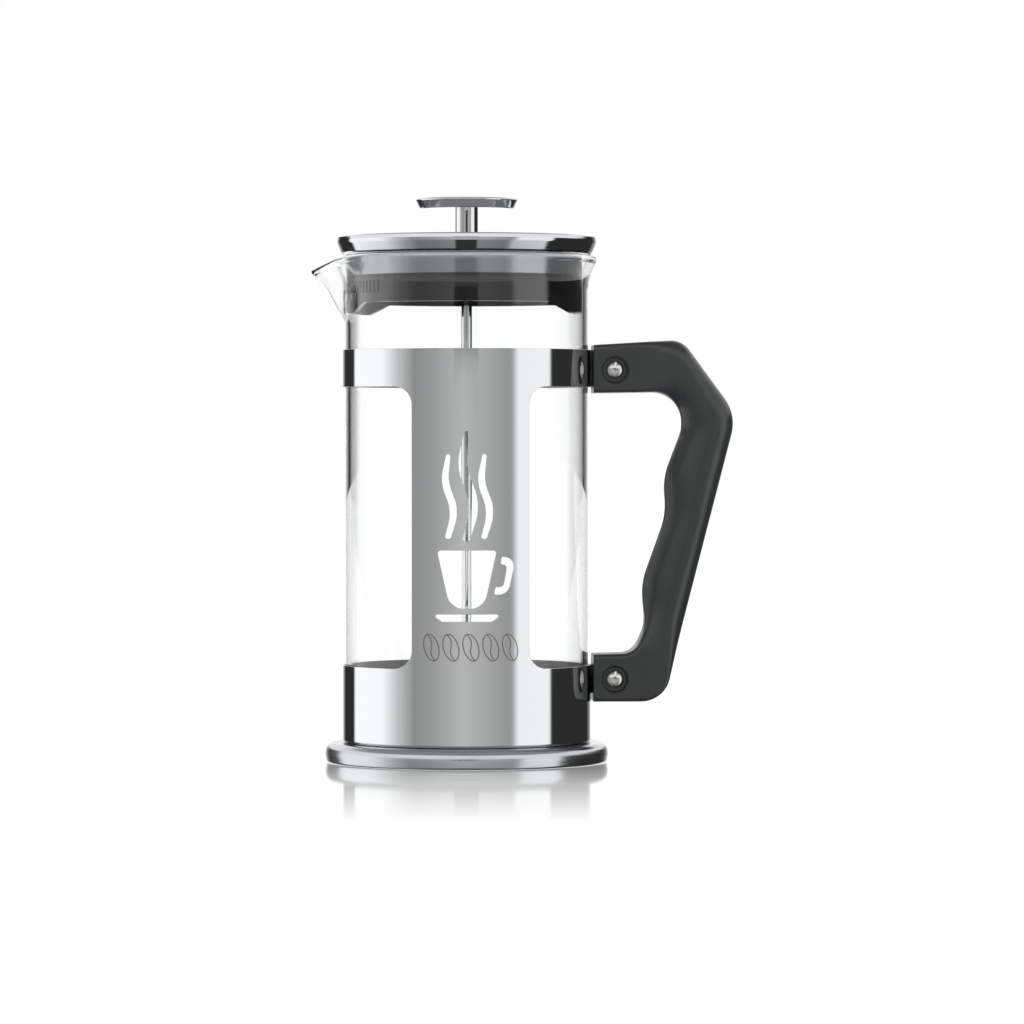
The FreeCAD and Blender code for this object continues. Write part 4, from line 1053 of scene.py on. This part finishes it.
def build_world(camera_turn):
    """A room of upright panels and flags under a grey ceiling; the camera itself sees white paper."""
    world = bpy.data.worlds.new("studio_room")
    bpy.context.scene.world = world
    world.use_nodes = True
    world.cycles.sampling_method = "NONE"
    tree = world.node_tree
    tree.nodes.clear()
    toward = node(tree, "ShaderNodeTexCoord").outputs["Generated"]
    turned = node(tree, "ShaderNodeVectorRotate", {"Vector": toward, "Angle": -camera_turn},
                  rotation_type="Z_AXIS")
    axes = node(tree, "ShaderNodeSeparateXYZ", {"Vector": turned.outputs["Vector"]})
    ahead = node(tree, "ShaderNodeMath", {0: axes.outputs["Y"], 1: -1.0}, operation="MULTIPLY")
    angle = node(tree, "ShaderNodeMath", {0: axes.outputs["X"], 1: ahead.outputs[0]}, operation="ARCTAN2")
    share = node(tree, "ShaderNodeMapRange", {
        "Value": angle.outputs[0], "From Min": -math.pi, "From Max": math.pi})
    stripes = node(tree, "ShaderNodeValToRGB", {"Fac": share.outputs["Result"]})
    ramp = stripes.color_ramp
    ramp.elements.remove(ramp.elements[0])
    for index, (turn, level) in enumerate(ROOM_STRIPES):
        position = (turn + 180) / 360
        stop = ramp.elements[0] if index == 0 else ramp.elements.new(position)
        stop.position = position
        stop.color = (level / BRIGHTEST,) * 3 + (1.0,)
    height = axes.outputs["Z"]
    # Over the panels the first reflections see a paler room, and later ones the panels' own levels.
    # In Cycles the background reads one bounce more than a surface does, so the limit is 2.5.
    over_stripes = node(tree, "ShaderNodeMapRange", {
        "Value": height, "From Min": 0.15, "From Max": 0.2}, interpolation_type="SMOOTHSTEP")
    ray = node(tree, "ShaderNodeLightPath")
    first = node(tree, "ShaderNodeMath", {0: ray.outputs["Ray Depth"], 1: 2.5}, operation="LESS_THAN")
    pale = node(tree, "ShaderNodeMath", {
        0: over_stripes.outputs["Result"], 1: first.outputs[0]}, operation="MULTIPLY")
    low_lens, high_lens = (math.sin(math.radians(turn)) for turn in LENS_HEIGHTS)
    low_stand, high_stand = (math.sin(math.radians(turn)) for turn in STAND_HEIGHTS)
    half_turn = math.radians(LENS_HALF_TURN)
    lens_side = band(tree, angle.outputs[0], -half_turn, half_turn, math.radians(1.5))
    lens_heights = node(tree, "ShaderNodeMath", {
        0: band(tree, height, low_lens, high_lens, 0.003),
        1: band(tree, height, low_stand, high_stand, 0.02)}, operation="ADD")
    dark_lens = node(tree, "ShaderNodeMath", {
        0: lens_side, 1: lens_heights.outputs[0]}, operation="MULTIPLY")
    # The room darkens towards straight down and overhead.
    under_table = node(tree, "ShaderNodeMapRange", {
        "Value": height, "From Min": -0.3, "From Max": -0.9, "To Min": 0.0, "To Max": 0.8})
    overhead = node(tree, "ShaderNodeMapRange", {"Value": height, "From Min": 0.5, "From Max": 0.65})
    room = stripes.outputs["Color"]
    for share, level in ((pale.outputs[0], 0.8), (dark_lens.outputs[0], 0.04),
                         (under_table.outputs["Result"], 0.02), (overhead.outputs["Result"], 0.25)):
        grey = (level, level, level, 1.0)
        room = node(tree, "ShaderNodeMix", {"Factor": share, 6: room, 7: grey}, data_type="RGBA").outputs[2]
    glow = node(tree, "ShaderNodeBackground", {"Color": room, "Strength": BRIGHTEST})
    paper = node(tree, "ShaderNodeBackground", {"Color": (1.0, 1.0, 1.0, 1.0), "Strength": 1.0})
    seen = node(tree, "ShaderNodeMixShader", {
        "Fac": ray.outputs["Is Camera Ray"], 1: glow.outputs[0], 2: paper.outputs[0]})
    node(tree, "ShaderNodeOutputWorld", {"Surface": seen.outputs[0]})


def white_table_top():
    """White acrylic, lit from under its surface: it shows a soft reflection close to the press."""
    def surface(tree, shader, place):
        out = next(item for item in tree.nodes if item.type == "OUTPUT_MATERIAL")
        tree.nodes.remove(shader)
        # Metres from the press's axis: the mirror fades out, and far off the top glows a little more.
        reach = node(tree, "ShaderNodeVectorMath", {0: place}, operation="LENGTH")
        fade = node(tree, "ShaderNodeMapRange", {
            "Value": reach.outputs["Value"], "From Min": 0.055, "From Max": 0.31,
            "To Min": 0.80, "To Max": 0.0})
        far = node(tree, "ShaderNodeMapRange", {
            "Value": reach.outputs["Value"], "From Min": 0.3, "From Max": 1.2,
            "To Min": 1.0, "To Max": 1.14})
        glow = node(tree, "ShaderNodeEmission", {
            "Color": (1.0, 1.0, 1.0, 1.0), "Strength": far.outputs["Result"]})
        gloss = node(tree, "ShaderNodeBsdfGlossy", {"Color": (1.0, 1.0, 1.0, 1.0), "Roughness": 0.06})
        both = node(tree, "ShaderNodeMixShader", {
            "Fac": fade.outputs["Result"], 1: glow.outputs[0], 2: gloss.outputs[0]})
        tree.links.new(both.outputs[0], out.inputs["Surface"])
    return new_material("white_acrylic_table", surface)


class FRENCHPRESS_OT_studio(bpy.types.Operator):
    """Set up the white room, the table top and the camera"""
    bl_idname = "frenchpress.studio"
    bl_label = "Studio"

    def execute(self, context):
        values = context.scene.frenchpress_studio
        build_world(values.camera_turn)
        select_none()
        bpy.ops.mesh.primitive_circle_add(vertices=96, radius=values.table_radius, fill_type="NGON")
        table = context.object
        table.name = "table_top"
        give(white_table_top(), table)
        table.visible_glossy = False
        out = Vector((math.sin(values.camera_turn), -math.cos(values.camera_turn), 0))
        right = Vector((math.cos(values.camera_turn), math.sin(values.camera_turn), 0))
        stand = out * values.camera_distance + Vector((0, 0, values.camera_height))
        target = right * values.aim_across + Vector((0, 0, values.aim_height))
        stand = stand + right * values.aim_across
        bpy.ops.object.camera_add(location=stand)
        camera = context.object
        camera.name = "studio_camera"
        camera.rotation_mode = "QUATERNION"
        camera.rotation_quaternion = (target - stand).to_track_quat("-Z", "Y")
        camera.data.sensor_width = 36
        camera.data.lens = values.lens
        camera.data.clip_end = 50
        context.scene.camera = camera
        context.scene.view_settings.view_transform = "Standard"
        return {"FINISHED"}


class FRENCHPRESS_OT_finishes(bpy.types.Operator):
    """Give every part that keeps its own shape the finish of its real material"""
    bl_idname = "frenchpress.finishes"
    bl_label = "Finishes"

    def execute(self, context):
        for finish, names in (
            (rolled_inner_steel, ("base_plate",)),
            (lid_collar_steel, ("lid_sleeve",)),
            (spun_mirror_steel, ("rod_guide",)),
            (drawn_steel_rod, ("plunger_rod", "knob_stem", "rod_collar", "hub_nut")),
            (pressed_filter_steel, ("cross_plate", "spring_plate")),
            (woven_gauze, ("filter_mesh",)),
            (nickel_plate, ("upper_ear_spacer", "lower_ear_spacer", "rod_guide_nut", "rod_guide_washer")),
            (glossy_polypropylene, ("lid_skirt",)),
            (moulded_silicone, ("base_pad",)),
        ):
            give(finish(), *(NODES[name] for name in names))
        return {"FINISHED"}


class FRENCHPRESS_PT_sidebar(bpy.types.Panel):
    """Buttons that build the press piece by piece"""
    bl_idname = "FRENCHPRESS_PT_sidebar"
    bl_label = "French Press"
    bl_space_type = "VIEW_3D"
    bl_region_type = "UI"
    bl_category = "French Press"

    def draw(self, context):
        for maker in MAKERS:
            self.layout.operator(maker.bl_idname)


MAKERS = (
    FRENCHPRESS_OT_finishes,
    FRENCHPRESS_OT_sleeve,
    FRENCHPRESS_OT_beans,
    FRENCHPRESS_OT_base_ring,
    FRENCHPRESS_OT_handle,
    FRENCHPRESS_OT_fasteners,
    FRENCHPRESS_OT_beaker,
    FRENCHPRESS_OT_lid,
    FRENCHPRESS_OT_knob,
    FRENCHPRESS_OT_spring,
    FRENCHPRESS_OT_studio,
)
GROUPS = {
    "frenchpress_sleeve": FRENCHPRESS_PG_sleeve,
    "frenchpress_beans": FRENCHPRESS_PG_beans,
    "frenchpress_handle": FRENCHPRESS_PG_handle,
    "frenchpress_fasteners": FRENCHPRESS_PG_fasteners,
    "frenchpress_beaker": FRENCHPRESS_PG_beaker,
    "frenchpress_filter": FRENCHPRESS_PG_filter,
    "frenchpress_studio": FRENCHPRESS_PG_studio,
}
CLASSES = (*GROUPS.values(), *MAKERS, FRENCHPRESS_PT_sidebar)


def register():
    """Make the property groups, operators and panel known to Blender."""
    for item in CLASSES:
        bpy.utils.register_class(item)
    for name, group in GROUPS.items():
        setattr(bpy.types.Scene, name, bpy.props.PointerProperty(type=group))


def unregister():
    """Take them away again."""
    for name in GROUPS:
        delattr(bpy.types.Scene, name)
    for item in reversed(CLASSES):
        bpy.utils.unregister_class(item)


def main():
    """Build everything in order."""
    register()
    for maker in MAKERS:
        group, name = maker.bl_idname.split(".")
        getattr(getattr(bpy.ops, group), name)()


if __name__ == "__main__":
    main()
